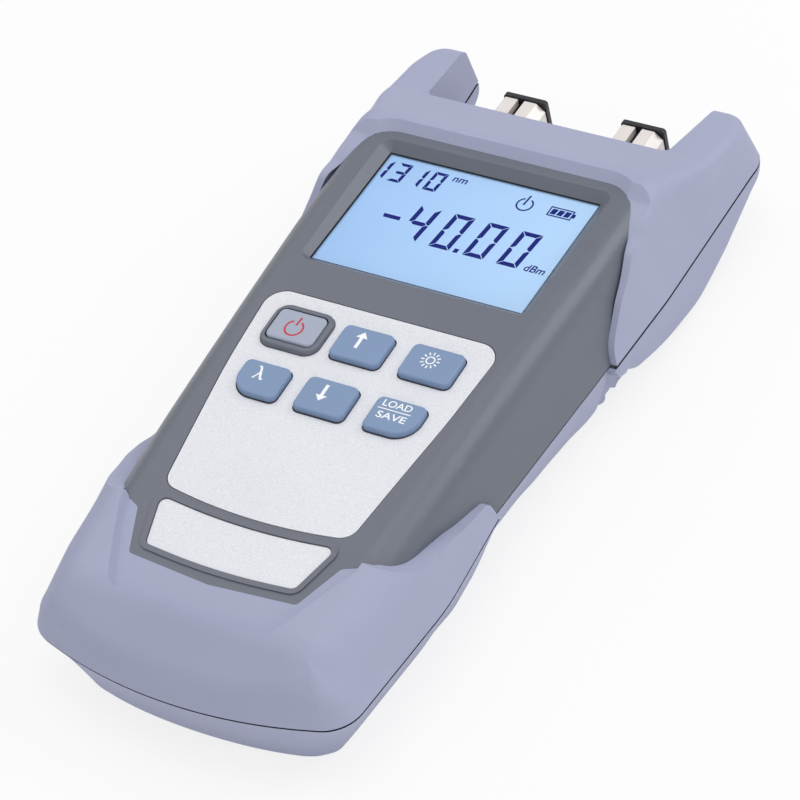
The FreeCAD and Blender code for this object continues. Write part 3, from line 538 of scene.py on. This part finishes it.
def lettering(text: str, low: Point, high: Point, slant: float, weight: float) -> bmesh.types.BMesh:
    """Flat letters as a bmesh that fills a box.

    Args:
        text: The letters.
        low: Lower left corner of the upright letters in millimetres.
        high: Upper right corner.
        slant: Sideways lean per unit of height.
        weight: How far the outlines are swelled, as a share of the letter size.

    Returns:
        A bmesh with one thin solid per letter, on the plane of nought height.
    """
    curve = bpy.data.curves.new("letters", "FONT")
    curve.body = text
    curve.offset = weight
    curve.extrude = LETTER_BODY
    curve.resolution_u = 4
    holder = bpy.data.objects.new("letters", curve)
    mesh = bpy.data.meshes.new_from_object(holder)
    shape = bmesh.new()
    shape.from_mesh(mesh)
    bpy.data.objects.remove(holder)
    bpy.data.meshes.remove(mesh)
    bmesh.ops.remove_doubles(shape, verts=shape.verts, dist=1e-5)
    start = [min(vert.co[axis] for vert in shape.verts) for axis in (0, 1)]
    end = [max(vert.co[axis] for vert in shape.verts) for axis in (0, 1)]
    across, along = ((high[axis] - low[axis]) * MM / (end[axis] - start[axis]) for axis in (0, 1))
    bmesh.ops.translate(shape, verts=shape.verts, vec=(-start[0], -start[1], 0))
    fit = Matrix(((across, slant * along, 0, low[0] * MM),
                  (0, along, 0, low[1] * MM),
                  (0, 0, LETTER_SQUASH, 0),
                  (0, 0, 0, 1)))
    bmesh.ops.transform(shape, verts=shape.verts, matrix=fit)
    return shape


def drape(shape: bmesh.types.BMesh, rise: float) -> None:
    """Lay flat artwork on the curved face, raised by rise."""
    for vert in shape.verts:
        vert.co.z += face_height(vert.co.y) + rise


def join_into(target: bmesh.types.BMesh, source: bmesh.types.BMesh) -> None:
    """Add one bmesh to another and free it."""
    mesh = bpy.data.meshes.new("joined")
    source.to_mesh(mesh)
    source.free()
    target.from_mesh(mesh)
    bpy.data.meshes.remove(mesh)


# ---------------------------------------------------------------- shaping

FAR = 999.0
Span = tuple[float, float, float, float]
WHOLE: Span = (-FAR, -FAR, FAR, FAR)


def smooth(share: float) -> float:
    """Ease a share from nought to one at both ends."""
    return share * share * (3 - 2 * share)


def mirrored(planes: set[tuple[int, float]]) -> set[tuple[int, float]]:
    """Planes across the meter on both sides, and the others as they are."""
    return planes | {(axis, -place) for axis, place in planes if axis == 0}


def fade(value: float, span: Span) -> float:
    """Rise from nought to one over the first two places of a span, and fall over the last two."""
    start, full, still, end = span
    if value < full:
        return max(0.0, (value - start) / (full - start)) if full > start else 0.0
    if value > still:
        return max(0.0, (end - value) / (end - still)) if end > still else 0.0
    return 1.0


@dataclass(frozen=True)
class Push:
    """A soft local move of a moulded skin, alike on both sides of the meter.

    Each span holds the four places in millimetres where the move starts, is full, is still full and has
    ended. A move goes outwards, towards the ports and upwards. A bend is the power that takes the place of
    the easing along the meter.
    """

    move: tuple[float, float, float]
    across: Span = WHOLE
    along: Span = WHOLE
    up: Span = WHOLE
    bend: float | None = None

    def apply(self, shape: bmesh.types.BMesh) -> None:
        """Move the points of a bmesh."""
        for vert in shape.verts:
            x, y, z = (value / MM for value in vert.co)
            lengthways = fade(y, self.along)
            eased = smooth(lengthways) if self.bend is None else lengthways ** self.bend
            share = smooth(fade(abs(x), self.across)) * eased * fade(z, self.up) * MM
            outward = math.copysign(1.0, x)
            vert.co += Vector((self.move[0] * outward, self.move[1], self.move[2])) * share

    def cuts(self) -> set[tuple[int, float]]:
        """Planes, as an axis and a place in millimetres, between which the move is close to straight."""
        found: set[tuple[int, float]] = set()
        for axis, span, parts in ((0, self.across, 4), (1, self.along, 6), (2, self.up, 1)):
            for start, end in (span[:2], span[2:]):
                if abs(start) < FAR and abs(end) < FAR:
                    found |= {(axis, start + (end - start) * part / parts) for part in range(parts + 1)}
        return mirrored(found)


@dataclass(frozen=True)
class Mellow:
    """A ridge rubbed smooth in one region of a skin, alike on both sides.

    Each range holds the two ends of the region in millimetres.
    """

    across: Point
    along: Point
    up: Point
    rounds: int
    step: float = 1.0

    def cuts(self) -> set[tuple[int, float]]:
        """Planes that give the region a mesh as fine as its step."""
        found = {(axis, start + self.step * index)
                 for axis, (start, end) in enumerate((self.across, self.along, self.up))
                 for index in range(int((end - start) / self.step) + 1)}
        return mirrored(found)

    def _holds(self, vert: bmesh.types.BMVert) -> bool:
        """Whether a point is inside the region."""
        places = (abs(vert.co.x), vert.co.y, vert.co.z)
        return all(start < place / MM < end
                   for place, (start, end) in zip(places, (self.across, self.along, self.up)))

    def apply(self, shape: bmesh.types.BMesh) -> None:
        """Average the region's points with their neighbours."""
        chosen = [vert for vert in shape.verts if self._holds(vert)]
        for _ in range(self.rounds):
            bmesh.ops.smooth_vert(shape, verts=chosen, factor=0.5,
                                  use_axis_x=True, use_axis_y=True, use_axis_z=True)


def sculpt(shape: bmesh.types.BMesh, shaping: Sequence[Push | Mellow]) -> None:
    """Cut a skin finely enough for its shaping, then move its points."""
    for axis, place in sorted(set().union(*(step.cuts() for step in shaping))):
        normal = Vector([float(index == axis) for index in range(3)])
        bmesh.ops.bisect_plane(shape, geom=shape.verts[:] + shape.edges[:] + shape.faces[:], dist=SLIVER,
                               plane_co=normal * place * MM, plane_no=normal)
    for step in shaping:
        step.apply(shape)


LOW = (-FAR, -FAR, 0.0, 15.6)
WALL = (28, 35, FAR, FAR)
WING = (37, 39.6, FAR, FAR)
WING_END = (-9.8, -9.5)
HORN_CORNER = Push((0.2, 0.9, 0.0), across=(38.5, 44, FAR, FAR), along=(56, 64, FAR, FAR))
REAR_SHAPING = (
    # foot
    Push((-1.6, 0, 0), across=WALL, along=(-FAR, -FAR, -85, -74), up=LOW),
    Push((-1.4, 3.0, 0), across=(29, 40, FAR, FAR), along=(-FAR, -FAR, -127, -112), up=LOW),
    Push((0, -2.1, 0), across=(-FAR, -FAR, 26, 37), along=(-FAR, -FAR, -118, -102), up=LOW),
    # wings under the bumper
    Push((0, 0, 5.5), across=(37, 40, FAR, FAR), along=(-9, -3, -2, 36), up=LOW, bend=1.6),
    Push((0, 0, 6.5), across=WING, along=(*WING_END, -7, 2), up=LOW),
    Push((0, 0, 2.8), across=WING, along=(*WING_END, -9.0, -7.2), up=(-FAR, -FAR, 10, 15.6)),
    Push((1.7, 0, 0), across=(28, 35, 37.8, 42), along=(-11, -9.5, -6, 0), up=LOW),
    # waist
    Push((-0.7, 0, 0), across=WALL, along=(-64, -55, -36, -24), up=LOW),
    Push((0.9, 0, 0), across=WALL, along=(-45, -36, -14, -10), up=LOW),
    Push((1.4, 0, 0), across=WALL, along=(-26, -15, -10, -9.5), up=LOW),
    # sides of the head, horn tips and a wider groove at the seam
    Push((0.6, 0, 0), across=WALL, along=(0, 10, 55, 64), up=LOW),
    HORN_CORNER,
    Push((0, 0, -0.3), up=(15.2, 15.58, 15.7, 15.8)),
)
HEAD_SHAPING = (
    Push((1.8, 0, 0), across=(35, 41, FAR, FAR), along=(28, 42, 54, 63), up=(18, 27, 36, 39)),
    Push((0, 0, 2.6), across=(35, 40, FAR, FAR), along=(-6, 1, 8, 15), up=(17, 23, FAR, FAR)),
    HORN_CORNER,
    Mellow(across=(39.8, 44.6), along=(20, 38), up=(28, 40), rounds=10),
)
BOOT_SHAPING = (
    Push((-0.4, 0, -1.5), across=(26, 41, FAR, FAR), along=(-FAR, -FAR, -98, -78), up=(16, 26, FAR, FAR)),
    Push((-0.3, 0, -1.2), across=(26, 41, FAR, FAR), along=(-FAR, -FAR, -118, -106), up=(16, 26, FAR, FAR)),
    Push((0, 0, 0.8), across=(34, 40, FAR, FAR), along=(-84, -79, -75, -70), up=(19, 25, FAR, FAR)),
)


# ---------------------------------------------------------------- housing

@dataclass
class Housing:
    """The two shells, the soft bumper and boot, the overlay, the label plate and the battery door."""

    door_bevel: float = 0.18 * MM

    def build(self) -> None:
        """Dress every outer part of the housing."""
        plan: list[tuple[str, str, Finishes, str, Sequence[Push | Mellow]]] = [
            ("front_case", "front_shell_skin", Finishes.GREY_SHELL, "grey_shell", ()),
            ("top_bumper", "horn_bumper_skin", Finishes.SOFT_BLUE, "bumper_blue", HEAD_SHAPING),
            ("bottom_boot", "boot_skin", Finishes.SOFT_BLUE, "bumper_blue", BOOT_SHAPING),
            ("rear_case", "rear_shell_skin", Finishes.SHELL_BLUE, "bumper_blue", REAR_SHAPING),
            ("keypad_overlay", "overlay_skin", Finishes.SILVER, "silver_sheet", ()),
            ("label_plate", "label_plate_skin", Finishes.SILVER, "silver_sheet", ()),
        ]
        for node, name, finish, slot, shaping in plan:
            cad_skin(node, name, finish, "housing", shaping=shaping)
        cad_skin("battery_door", "battery_door_skin", Finishes.SOFT_BLUE, "door",
                 self.door_bevel)


# ---------------------------------------------------------------- display

class Segment(Enum):
    """The seven strokes of a display digit."""

    TOP = "a"
    RIGHT_UPPER = "b"
    RIGHT_LOWER = "c"
    BOTTOM = "d"
    LEFT_LOWER = "e"
    LEFT_UPPER = "f"
    MIDDLE = "g"


DIGIT_STROKES: dict[str, str] = {"0": "abcdef", "1": "bc", "3": "abcdg", "4": "bcfg"}


@dataclass
class Display:
    """The window with a dark strip of painted shadow round its glass, the lit field, and the segments that it
    shows.
    """

    field_top: float = 34.72 * MM
    segment_top: float = 34.76 * MM
    glass_low: float = 34.8 * MM
    glass_high: float = 35.0 * MM
    opening: float = 56.0 * MM
    # widths and heights of the strip of painted edge shadow
    shadow_wide: float = 0.45 * MM
    shadow_narrow: float = 0.12 * MM
    shadow_low: float = 35.01 * MM
    shadow_high: float = 35.05 * MM
    soft_edge: float = 0.06 * MM
    slant: float = 0.085
    unit_slant: float = 0.12
    small_digit: Point = (3.45 * MM, 6.35 * MM)
    large_digit: Point = (5.35 * MM, 11.5 * MM)

    def build(self) -> None:
        """Make the window, the lit field, the painted edge shadow and the segments."""
        self._slab("display_window_pane", "display_window", self.glass_low, self.glass_high, Finishes.WINDOW)
        self._slab("display_lit_field", "display_panel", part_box("display_panel")[0].z, self.field_top,
                   Finishes.FIELD)
        self._edge_shadow_strip()
        self._segments()

    def _edge_shadow_strip(self) -> None:
        """A dark strip of painted shadow round the glass, for the shaded wall between glass and frame: wide
        at the far and left edges, where that wall shows, and narrow at the others.
        """
        low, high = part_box("display_window")
        hidden = (high.x - low.x) / 2 - self.opening / 2
        left, near, right, far = low.x + hidden, low.y + hidden, high.x - hidden, high.y - hidden
        inner_left, inner_near = left + self.shadow_wide, near + self.shadow_narrow
        inner_right, inner_far = right - self.shadow_narrow, far - self.shadow_wide
        shape = bmesh.new()
        for sides in ((left, near, right, inner_near), (left, inner_far, right, far),
                      (left, inner_near, inner_left, inner_far), (inner_right, inner_near, right, inner_far)):
            flat_plate(shape, oblong(*sides), self.shadow_low, self.shadow_high)
        new_piece("display_edge_shadow_strip", shape, Finishes.GASKET, "housing")

    def _slab(self, name: str, node: str, bottom: float, top: float, finish: Finishes) -> None:
        """Make a thin sheet with softened edges over the outline of a CAD node, which it replaces.

        Args:
            name: Name of the new piece.
            node: The CAD node.
            bottom: Height of the underside in metres.
            top: Height of the top.
            finish: Its finish.
        """
        low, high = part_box(node)
        shape = bmesh.new()
        flat_plate(shape, oblong(low.x, low.y, high.x, high.y), bottom, top)
        bmesh.ops.bevel(shape, geom=shape.edges[:], offset=self.soft_edge, segments=2, profile=0.5,
                        affect="EDGES", material=-1)
        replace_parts(new_piece(name, shape, finish, "housing"), node)

    def _digit(self, shape: bmesh.types.BMesh, text: str, x: float, y: float, size: Point) -> None:
        """Add one slanted digit.

        Args:
            shape: The bmesh to add to.
            text: The digit.
            x: Lower left corner of the digit in metres.
            y: Lower left corner of the digit in metres.
            size: Its width and height.
        """
        stroke = size[0] * 0.2 + 0.14 * MM
        for name in DIGIT_STROKES[text]:
            corners = self._stroke(Segment(name), *size, stroke, stroke * 0.12)
            flat_plate(shape, [(x + cx + self.slant * cy, y + cy) for cx, cy in corners], self.field_top,
                       self.segment_top)

    def _stroke(self, segment: Segment, width: float, height: float, stroke: float,
                gap: float) -> list[Point]:
        """Corners of one stroke of a digit whose lower left corner is the origin.

        Args:
            segment: Which stroke.
            width: Width of the digit.
            height: Height of the digit.
            stroke: Width of the strokes.
            gap: Room between strokes.

        Returns:
            The corners, all in the unit of the sizes given.
        """
        middle, half, inset = height / 2, stroke / 2, stroke + gap
        if segment is Segment.TOP:
            return [(gap, height), (inset, height - stroke), (width - inset, height - stroke),
                    (width - gap, height)]
        if segment is Segment.BOTTOM:
            return [(gap, 0), (width - gap, 0), (width - inset, stroke), (inset, stroke)]
        if segment is Segment.MIDDLE:
            return [(half + gap, middle), (inset, middle - half), (width - inset, middle - half),
                    (width - half - gap, middle), (width - inset, middle + half), (inset, middle + half)]
        if segment in (Segment.RIGHT_UPPER, Segment.LEFT_UPPER):
            corners = [(0, height - gap), (0, middle + gap), (half, middle + gap),
                       (stroke, middle + half + gap), (stroke, height - inset)]
        else:
            corners = [(0, gap), (stroke, inset), (stroke, middle - half - gap), (half, middle - gap),
                       (0, middle - gap)]
        if segment in (Segment.RIGHT_UPPER, Segment.RIGHT_LOWER):
            return [(width - cx, cy) for cx, cy in reversed(corners)]
        return corners

    def _segments(self) -> None:
        """Every segment and sign that the display shows."""
        shape = bmesh.new()
        for text, x in (("1", -29.3), ("3", -24.5), ("1", -19.75), ("0", -14.85)):
            self._digit(shape, text, x * MM, 11.5 * MM, self.small_digit)
        for text, x in (("4", -12.75), ("0", -3.8), ("0", 5.2), ("0", 14.0)):
            self._digit(shape, text, x * MM, -4.82 * MM, self.large_digit)
        minus = [(-18.88, 0.35), (-14.44, 0.35), (-14.62, 1.5), (-19.03, 1.5)]
        point = [(2.65, -4.87), (3.81, -4.82), (3.9, -3.58), (2.74, -3.58)]
        power_bar = [(10.5, 14.4), (10.95, 14.4), (11.3, 17.7), (10.85, 17.7)]
        for corners in (minus, point, power_bar):
            flat_plate(shape, scaled(corners), self.field_top, self.segment_top)
        band(shape, 11.0 * MM, 14.6 * MM, 1.75 * MM, 2.15 * MM, self.field_top, self.segment_top, 112, 310)
        self._battery(shape, 17.3, 13.15)
        units = (("nm", (-9.35, 16.15), (-5.65, 17.6)), ("dBm", (21.0, -4.85), (26.2, -2.65)))
        for text, start, end in units:
            letters = lettering(text, start, end, self.unit_slant, LETTER_SWELL)
            bmesh.ops.translate(letters, verts=letters.verts, vec=(0, 0, self.field_top + 0.02 * MM))
            join_into(shape, letters)
        new_piece("display_segments", shape, Finishes.SEGMENT, "housing")

    def _battery(self, shape: bmesh.types.BMesh, x: float, y: float) -> None:
        """Add the battery sign, with its lower left corner given in millimetres.

        It is a hollow box with a nub and three slanted bars.
        """
        width, height, line, nub, bar, pitch = 6.2, 3.05, 0.32, 0.65, 1.35, 1.75
        signs = [oblong(0, 0, width, line), oblong(0, height - line, width, height),
                 oblong(0, line, line, height - line), oblong(width - line, line, width, height - line),
                 oblong(width, 0.9, width + nub, 2.15)]
        for start in (0.55 + pitch * step for step in range(3)):
            signs.append([(start, 0.65), (start + bar, 0.65), (start + bar + 0.25, 2.4), (start + 0.25, 2.4)])
        for corners in signs:
            placed = scaled((x + cx, y + cy) for cx, cy in corners)
            flat_plate(shape, placed, self.field_top, self.segment_top)


# ---------------------------------------------------------------- keypad

@dataclass
class Keypad:
    """The six keys, the signs printed on them and the dark mat that shows round them, raised close under the
    overlay as partly painted shade in the gaps.

    The signs stand a little off the middle of their keys.
    """

    rise: float = 1.51 * MM
    ink: float = 0.03 * MM
    nudge: Point = (0.25 * MM, -0.35 * MM)
    # the key mat's rubber raised close under the overlay: real dark rubber, and painted shade for the gap
    # round each key
    mat_drop: float = 0.2 * MM
    mat_sheet: float = 0.1 * MM
    mat_reach: float = 0.33 * MM

    def build(self) -> None:
        """Dress the keys and print their signs."""
        plan: list[tuple[str, Callable[[bmesh.types.BMesh], None], Finishes, Finishes, str]] = [
            ("power", self._power_sign, Finishes.KEY_PALE, Finishes.RED_INK, "key_pale"),
            ("up", self._up_arrow, Finishes.KEY_BLUE, Finishes.WHITE_INK, "key_blue"),
            ("light", self._sun, Finishes.KEY_BLUE, Finishes.WHITE_INK, "key_blue"),
            ("wavelength", self._lambda, Finishes.KEY_BLUE, Finishes.WHITE_INK, "key_blue"),
            ("down", self._down_arrow, Finishes.KEY_BLUE, Finishes.WHITE_INK, "key_blue"),
            ("memory", self._memory_words, Finishes.KEY_BLUE, Finishes.WHITE_INK, "key_blue"),
        ]
        for name, draw, plastic, ink, slot in plan:
            cad_skin("key_" + name, f"key_{name}_cap", plastic, name + "_key")
            self._mat_and_gap_shade(name)
            low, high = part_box("key_" + name)
            middle = (low + high) / 2
            shape = bmesh.new()
            draw(shape)
            bmesh.ops.translate(shape, verts=shape.verts,
                                vec=(middle.x + self.nudge[0], middle.y + self.nudge[1], 0))
            drape(shape, self.rise)
            new_piece(name + "_key_sign", shape, ink, name + "_key")

    def _mat_and_gap_shade(self, name: str) -> None:
        """Make the dark rubber that shows round one key: a thin slice of the key's wall, drawn outwards. It
        is the mat's own dark colour, raised close under the overlay so that it also stands in for the shade
        in the gap: partly painted shade.
        """
        low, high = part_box("key_" + name)
        middle, half = (low + high) / 2, (high - low) / 2
        level = face_height(middle.y) - self.mat_drop
        shape = bmesh.new()
        shape.from_mesh(frame["nodes"]["key_" + name].data)
        bmesh.ops.remove_doubles(shape, verts=shape.verts, dist=WELD)
        for up in (1, -1):
            bmesh.ops.bisect_plane(shape, geom=shape.verts[:] + shape.edges[:] + shape.faces[:],
                                   clear_outer=True, plane_co=(0, 0, level + up * self.mat_sheet / 2),
                                   plane_no=(0, 0, up))
        for face in [face for face in shape.faces if abs(face.normal.z) > 0.5]:
            shape.faces.remove(face)
        drawn = bmesh.ops.extrude_face_region(shape, geom=shape.faces[:])
        for vert in (item for item in drawn["geom"] if isinstance(item, bmesh.types.BMVert)):
            vert.co.x += (vert.co.x - middle.x) * self.mat_reach / half.x
            vert.co.y += (vert.co.y - middle.y) * self.mat_reach / half.y
        bmesh.ops.recalc_face_normals(shape, faces=shape.faces)
        new_piece(name + "_key_mat_and_gap_shade", shape, Finishes.MAT_RUBBER, "housing")

    def _plate(self, shape: bmesh.types.BMesh, corners: Iterable[Point]) -> list:
        """Add a printed patch from its corners in millimetres."""
        return flat_plate(shape, scaled(corners), 0, self.ink)

    def _power_sign(self, shape: bmesh.types.BMesh) -> None:
        """A broken ring with a bar in its gap."""
        band(shape, -0.5 * MM, -0.25 * MM, 1.95 * MM, 2.38 * MM, 0, self.ink, 118, 304)
        self._plate(shape, [(-0.68, 0.6), (-0.22, 0.6), (-0.02, 3.1), (-0.48, 3.1)])

    def _up_arrow(self, shape: bmesh.types.BMesh) -> None:
        """An arrow towards the display."""
        self._plate(shape, [(-1.52, -1.06), (-0.68, -1.06), (-0.68, 2.1), (0.37, 2.1), (-1.1, 3.8),
                            (-2.57, 2.1), (-1.52, 2.1)])

    def _down_arrow(self, shape: bmesh.types.BMesh) -> None:
        """An arrow away from the display."""
        self._plate(shape, [(-0.83, 3.5), (-1.67, 3.5), (-1.67, 0.4), (-2.68, 0.4), (-1.25, -1.24),
                            (0.18, 0.4), (-0.83, 0.4)])

    def _sun(self, shape: bmesh.types.BMesh) -> None:
        """A small ring with twelve rays."""
        x, y, rays = -0.8, 1.15, 12
        band(shape, x * MM, y * MM, 0.82 * MM, 1.15 * MM, 0, self.ink)
        for step in range(rays):
            ray = self._plate(shape, [(x - 0.15, y + 1.55), (x + 0.15, y + 1.55), (x + 0.19, y + 2.35),
                                      (x - 0.19, y + 2.35)])
            bmesh.ops.rotate(shape, verts=ray, cent=(x * MM, y * MM, 0),
                             matrix=Matrix.Rotation(math.tau * step / rays, 3, "Z"))

    def _lambda(self, shape: bmesh.types.BMesh) -> None:
        """The wavelength sign."""
        self._plate(shape, [(0.5, 0.15), (0.35, 0.3), (-0.02, 0.35), (-1.12, 3.3), (-1.45, 3.62),
                            (-2.05, 3.55), (-2.2, 3.25), (-1.85, 3.3), (-1.6, 3.1), (-0.5, 0.1), (-0.2, -0.2),
                            (0.25, -0.18)])
        self._plate(shape, [(-1.02, 2.05), (-2.3, -0.2), (-1.9, -0.2), (-0.85, 1.6)])

    def _memory_words(self, shape: bmesh.types.BMesh) -> None:
        """The two words of the memory key with a line between."""
        for text, low, high in (("LOAD", (-4.5, 2.3), (2.8, 4.15)), ("SAVE", (-4.4, -1.05), (3.0, 0.8))):
            join_into(shape, lettering(text, low, high, 0.0, LETTER_SWELL))
        self._plate(shape, oblong(-5.1, 1.45, 3.3, 1.7))


# ---------------------------------------------------------------- ports

@dataclass
class Ports:
    """The two fibre ports and their dust caps."""

    bevel: float = 0.15 * MM

    def build(self) -> None:
        """Dress the adapters and the caps."""
        for suffix, body in (("left", "left_cap"), ("right", "right_cap")):
            cad_skin("port_" + suffix, f"port_{suffix}_adapter", Finishes.PORT_METAL, "housing",
                     self.bevel)
            cad_skin("dust_cap_" + suffix, f"dust_cap_{suffix}_skin", Finishes.CAP_BLACK, body,
                     self.bevel)


# ---------------------------------------------------------------- inner parts

@dataclass
class InnerParts:
    """The CAD nodes in their own finishes. Those under the shells keep their CAD form."""

    def build(self) -> None:
        """Give each CAD node the finish of its slot."""
        slots = {row["node"]: row["material_slot"] for row in frame["record"]["subparts"]}
        for name, node in frame["nodes"].items():
            finish = SLOT_FINISH[slots[name]]
            if node.data.materials:
                for index in range(len(node.data.materials)):
                    node.data.materials[index] = finish.material()
            else:
                node.data.materials.append(finish.material())
            LOG.info("finished %s as %s", name, finish.value.name)


# ---------------------------------------------------------------- studio

@dataclass
class Studio:
    """A pale floor, even light from all round, five soft lamps and the camera."""

    azimuth: float = 40.16
    elevation: float = 43.76
    roll: float = -14.46
    distance: float = 894.46 * MM
    slide: Point = (-11.88 * MM, -37.63 * MM)
    target: Vector = field(default_factory=lambda: Vector((0, 0, 35 * MM)))
    lens: float = 176.92
    floor_glow: float = 0.8
    world_strength: float = 0.52
    lamp_aim: Vector = field(default_factory=lambda: Vector((0, -30 * MM, 20 * MM)))

    def build(self) -> None:
        """Set up floor, world, lamps and camera."""
        self._floor()
        self._world()
        self._lamp("key_light", (0.05, 0.1, 1.3), 0.9, 5.0)
        self._lamp("right_light", (0.75, 0.7, 0.8), 0.6, 4.2)
        self._lamp("left_light", (-0.8, 0.3, 0.9), 0.8, 2.0)
        self._lamp("front_light", (0.7, -1.1, 0.35), 0.8, 2.2)
        self._lamp("low_right_light", (1.1, -0.35, 0.06), 0.5, 0.8)
        self._camera()

    def _floor(self) -> None:
        """Lay a wide pale floor that looks white to the camera, and keeps a soft shadow."""
        shape = bmesh.new()
        bmesh.ops.create_grid(shape, x_segments=1, y_segments=1, size=6.0)
        mesh = bpy.data.meshes.new("floor")
        shape.to_mesh(mesh)
        shape.free()
        floor = bpy.data.objects.new("floor", mesh)
        bpy.context.scene.collection.objects.link(floor)
        recipe = Recipe("floor_white")
        recipe.set(Base_Color=(0.9, 0.9, 0.9, 1.0), Roughness=0.9)
        path = recipe.node("ShaderNodeLightPath").outputs
        rays = ("Is Camera Ray", "Is Glossy Ray", "Is Transmission Ray")
        seen = sum(Wire(recipe, path[ray]) for ray in rays)
        white = recipe.node("ShaderNodeEmission", {}, {"Color": (1.0, 1.0, 1.0, 1.0), "Strength": 1.0})
        mix = recipe.node("ShaderNodeMixShader", {}, {0: seen * self.floor_glow,
                                                      1: recipe.shader.outputs[0], 2: white.outputs[0]})
        recipe.feed(recipe.tree.nodes["Material Output"].inputs["Surface"], mix.outputs[0])
        mesh.materials.append(recipe.material)

    def _world(self) -> None:
        """Set an even, nearly white light from all round."""
        world = bpy.data.worlds.new("light_tent")
        bpy.context.scene.world = world
        world.use_nodes = True
        background = world.node_tree.nodes["Background"]
        background.inputs["Color"].default_value = (0.97, 0.98, 1.0, 1.0)
        background.inputs["Strength"].default_value = self.world_strength

    def _lamp(self, name: str, place: tuple[float, float, float], size: float, power: float) -> None:
        """Add one square soft lamp that faces the meter.

        Args:
            name: Name of the lamp.
            place: Where it stands, in metres.
            size: Side of the square in metres.
            power: Power in watts.
        """
        light = bpy.data.lights.new(name, "AREA")
        light.size = size
        light.energy = power
        lamp = bpy.data.objects.new(name, light)
        bpy.context.scene.collection.objects.link(lamp)
        lamp.location = place
        lamp.rotation_mode = "QUATERNION"
        lamp.rotation_quaternion = (self.lamp_aim - Vector(place)).to_track_quat("-Z", "Y")

    def _camera(self) -> None:
        """Add the camera, turned and slid to the view of the meter."""
        az, el, roll = (math.radians(angle) for angle in (self.azimuth, self.elevation, self.roll))
        back = Vector((math.sin(az) * math.cos(el), -math.cos(az) * math.cos(el), math.sin(el)))
        level_right = (-back).cross(Vector((0, 0, 1))).normalized()
        level_up = level_right.cross(-back)
        right = level_right * math.cos(roll) + level_up * math.sin(roll)
        up = level_up * math.cos(roll) - level_right * math.sin(roll)
        place = self.target + right * self.slide[0] + up * self.slide[1] + back * self.distance
        data = bpy.data.cameras.new("camera")
        data.lens = self.lens
        data.sensor_width = 36.0
        data.clip_start = 0.05
        camera = bpy.data.objects.new("camera", data)
        bpy.context.scene.collection.objects.link(camera)
        turn = Matrix((right, up, back)).transposed().to_4x4()
        camera.matrix_world = Matrix.Translation(place) @ turn
        bpy.context.scene.camera = camera


def main() -> None:
    """Build every sub-assembly in order and report it."""
    logging.basicConfig(level=logging.INFO, format="%(name)s: %(message)s")
    bpy.context.scene.view_settings.view_transform = "Standard"
    for assembly in (InnerParts(), Housing(), Display(), Keypad(), Ports(), Studio()):
        LOG.info("building %s", type(assembly).__name__)
        assembly.build()


if __name__ == "__main__":
    main()
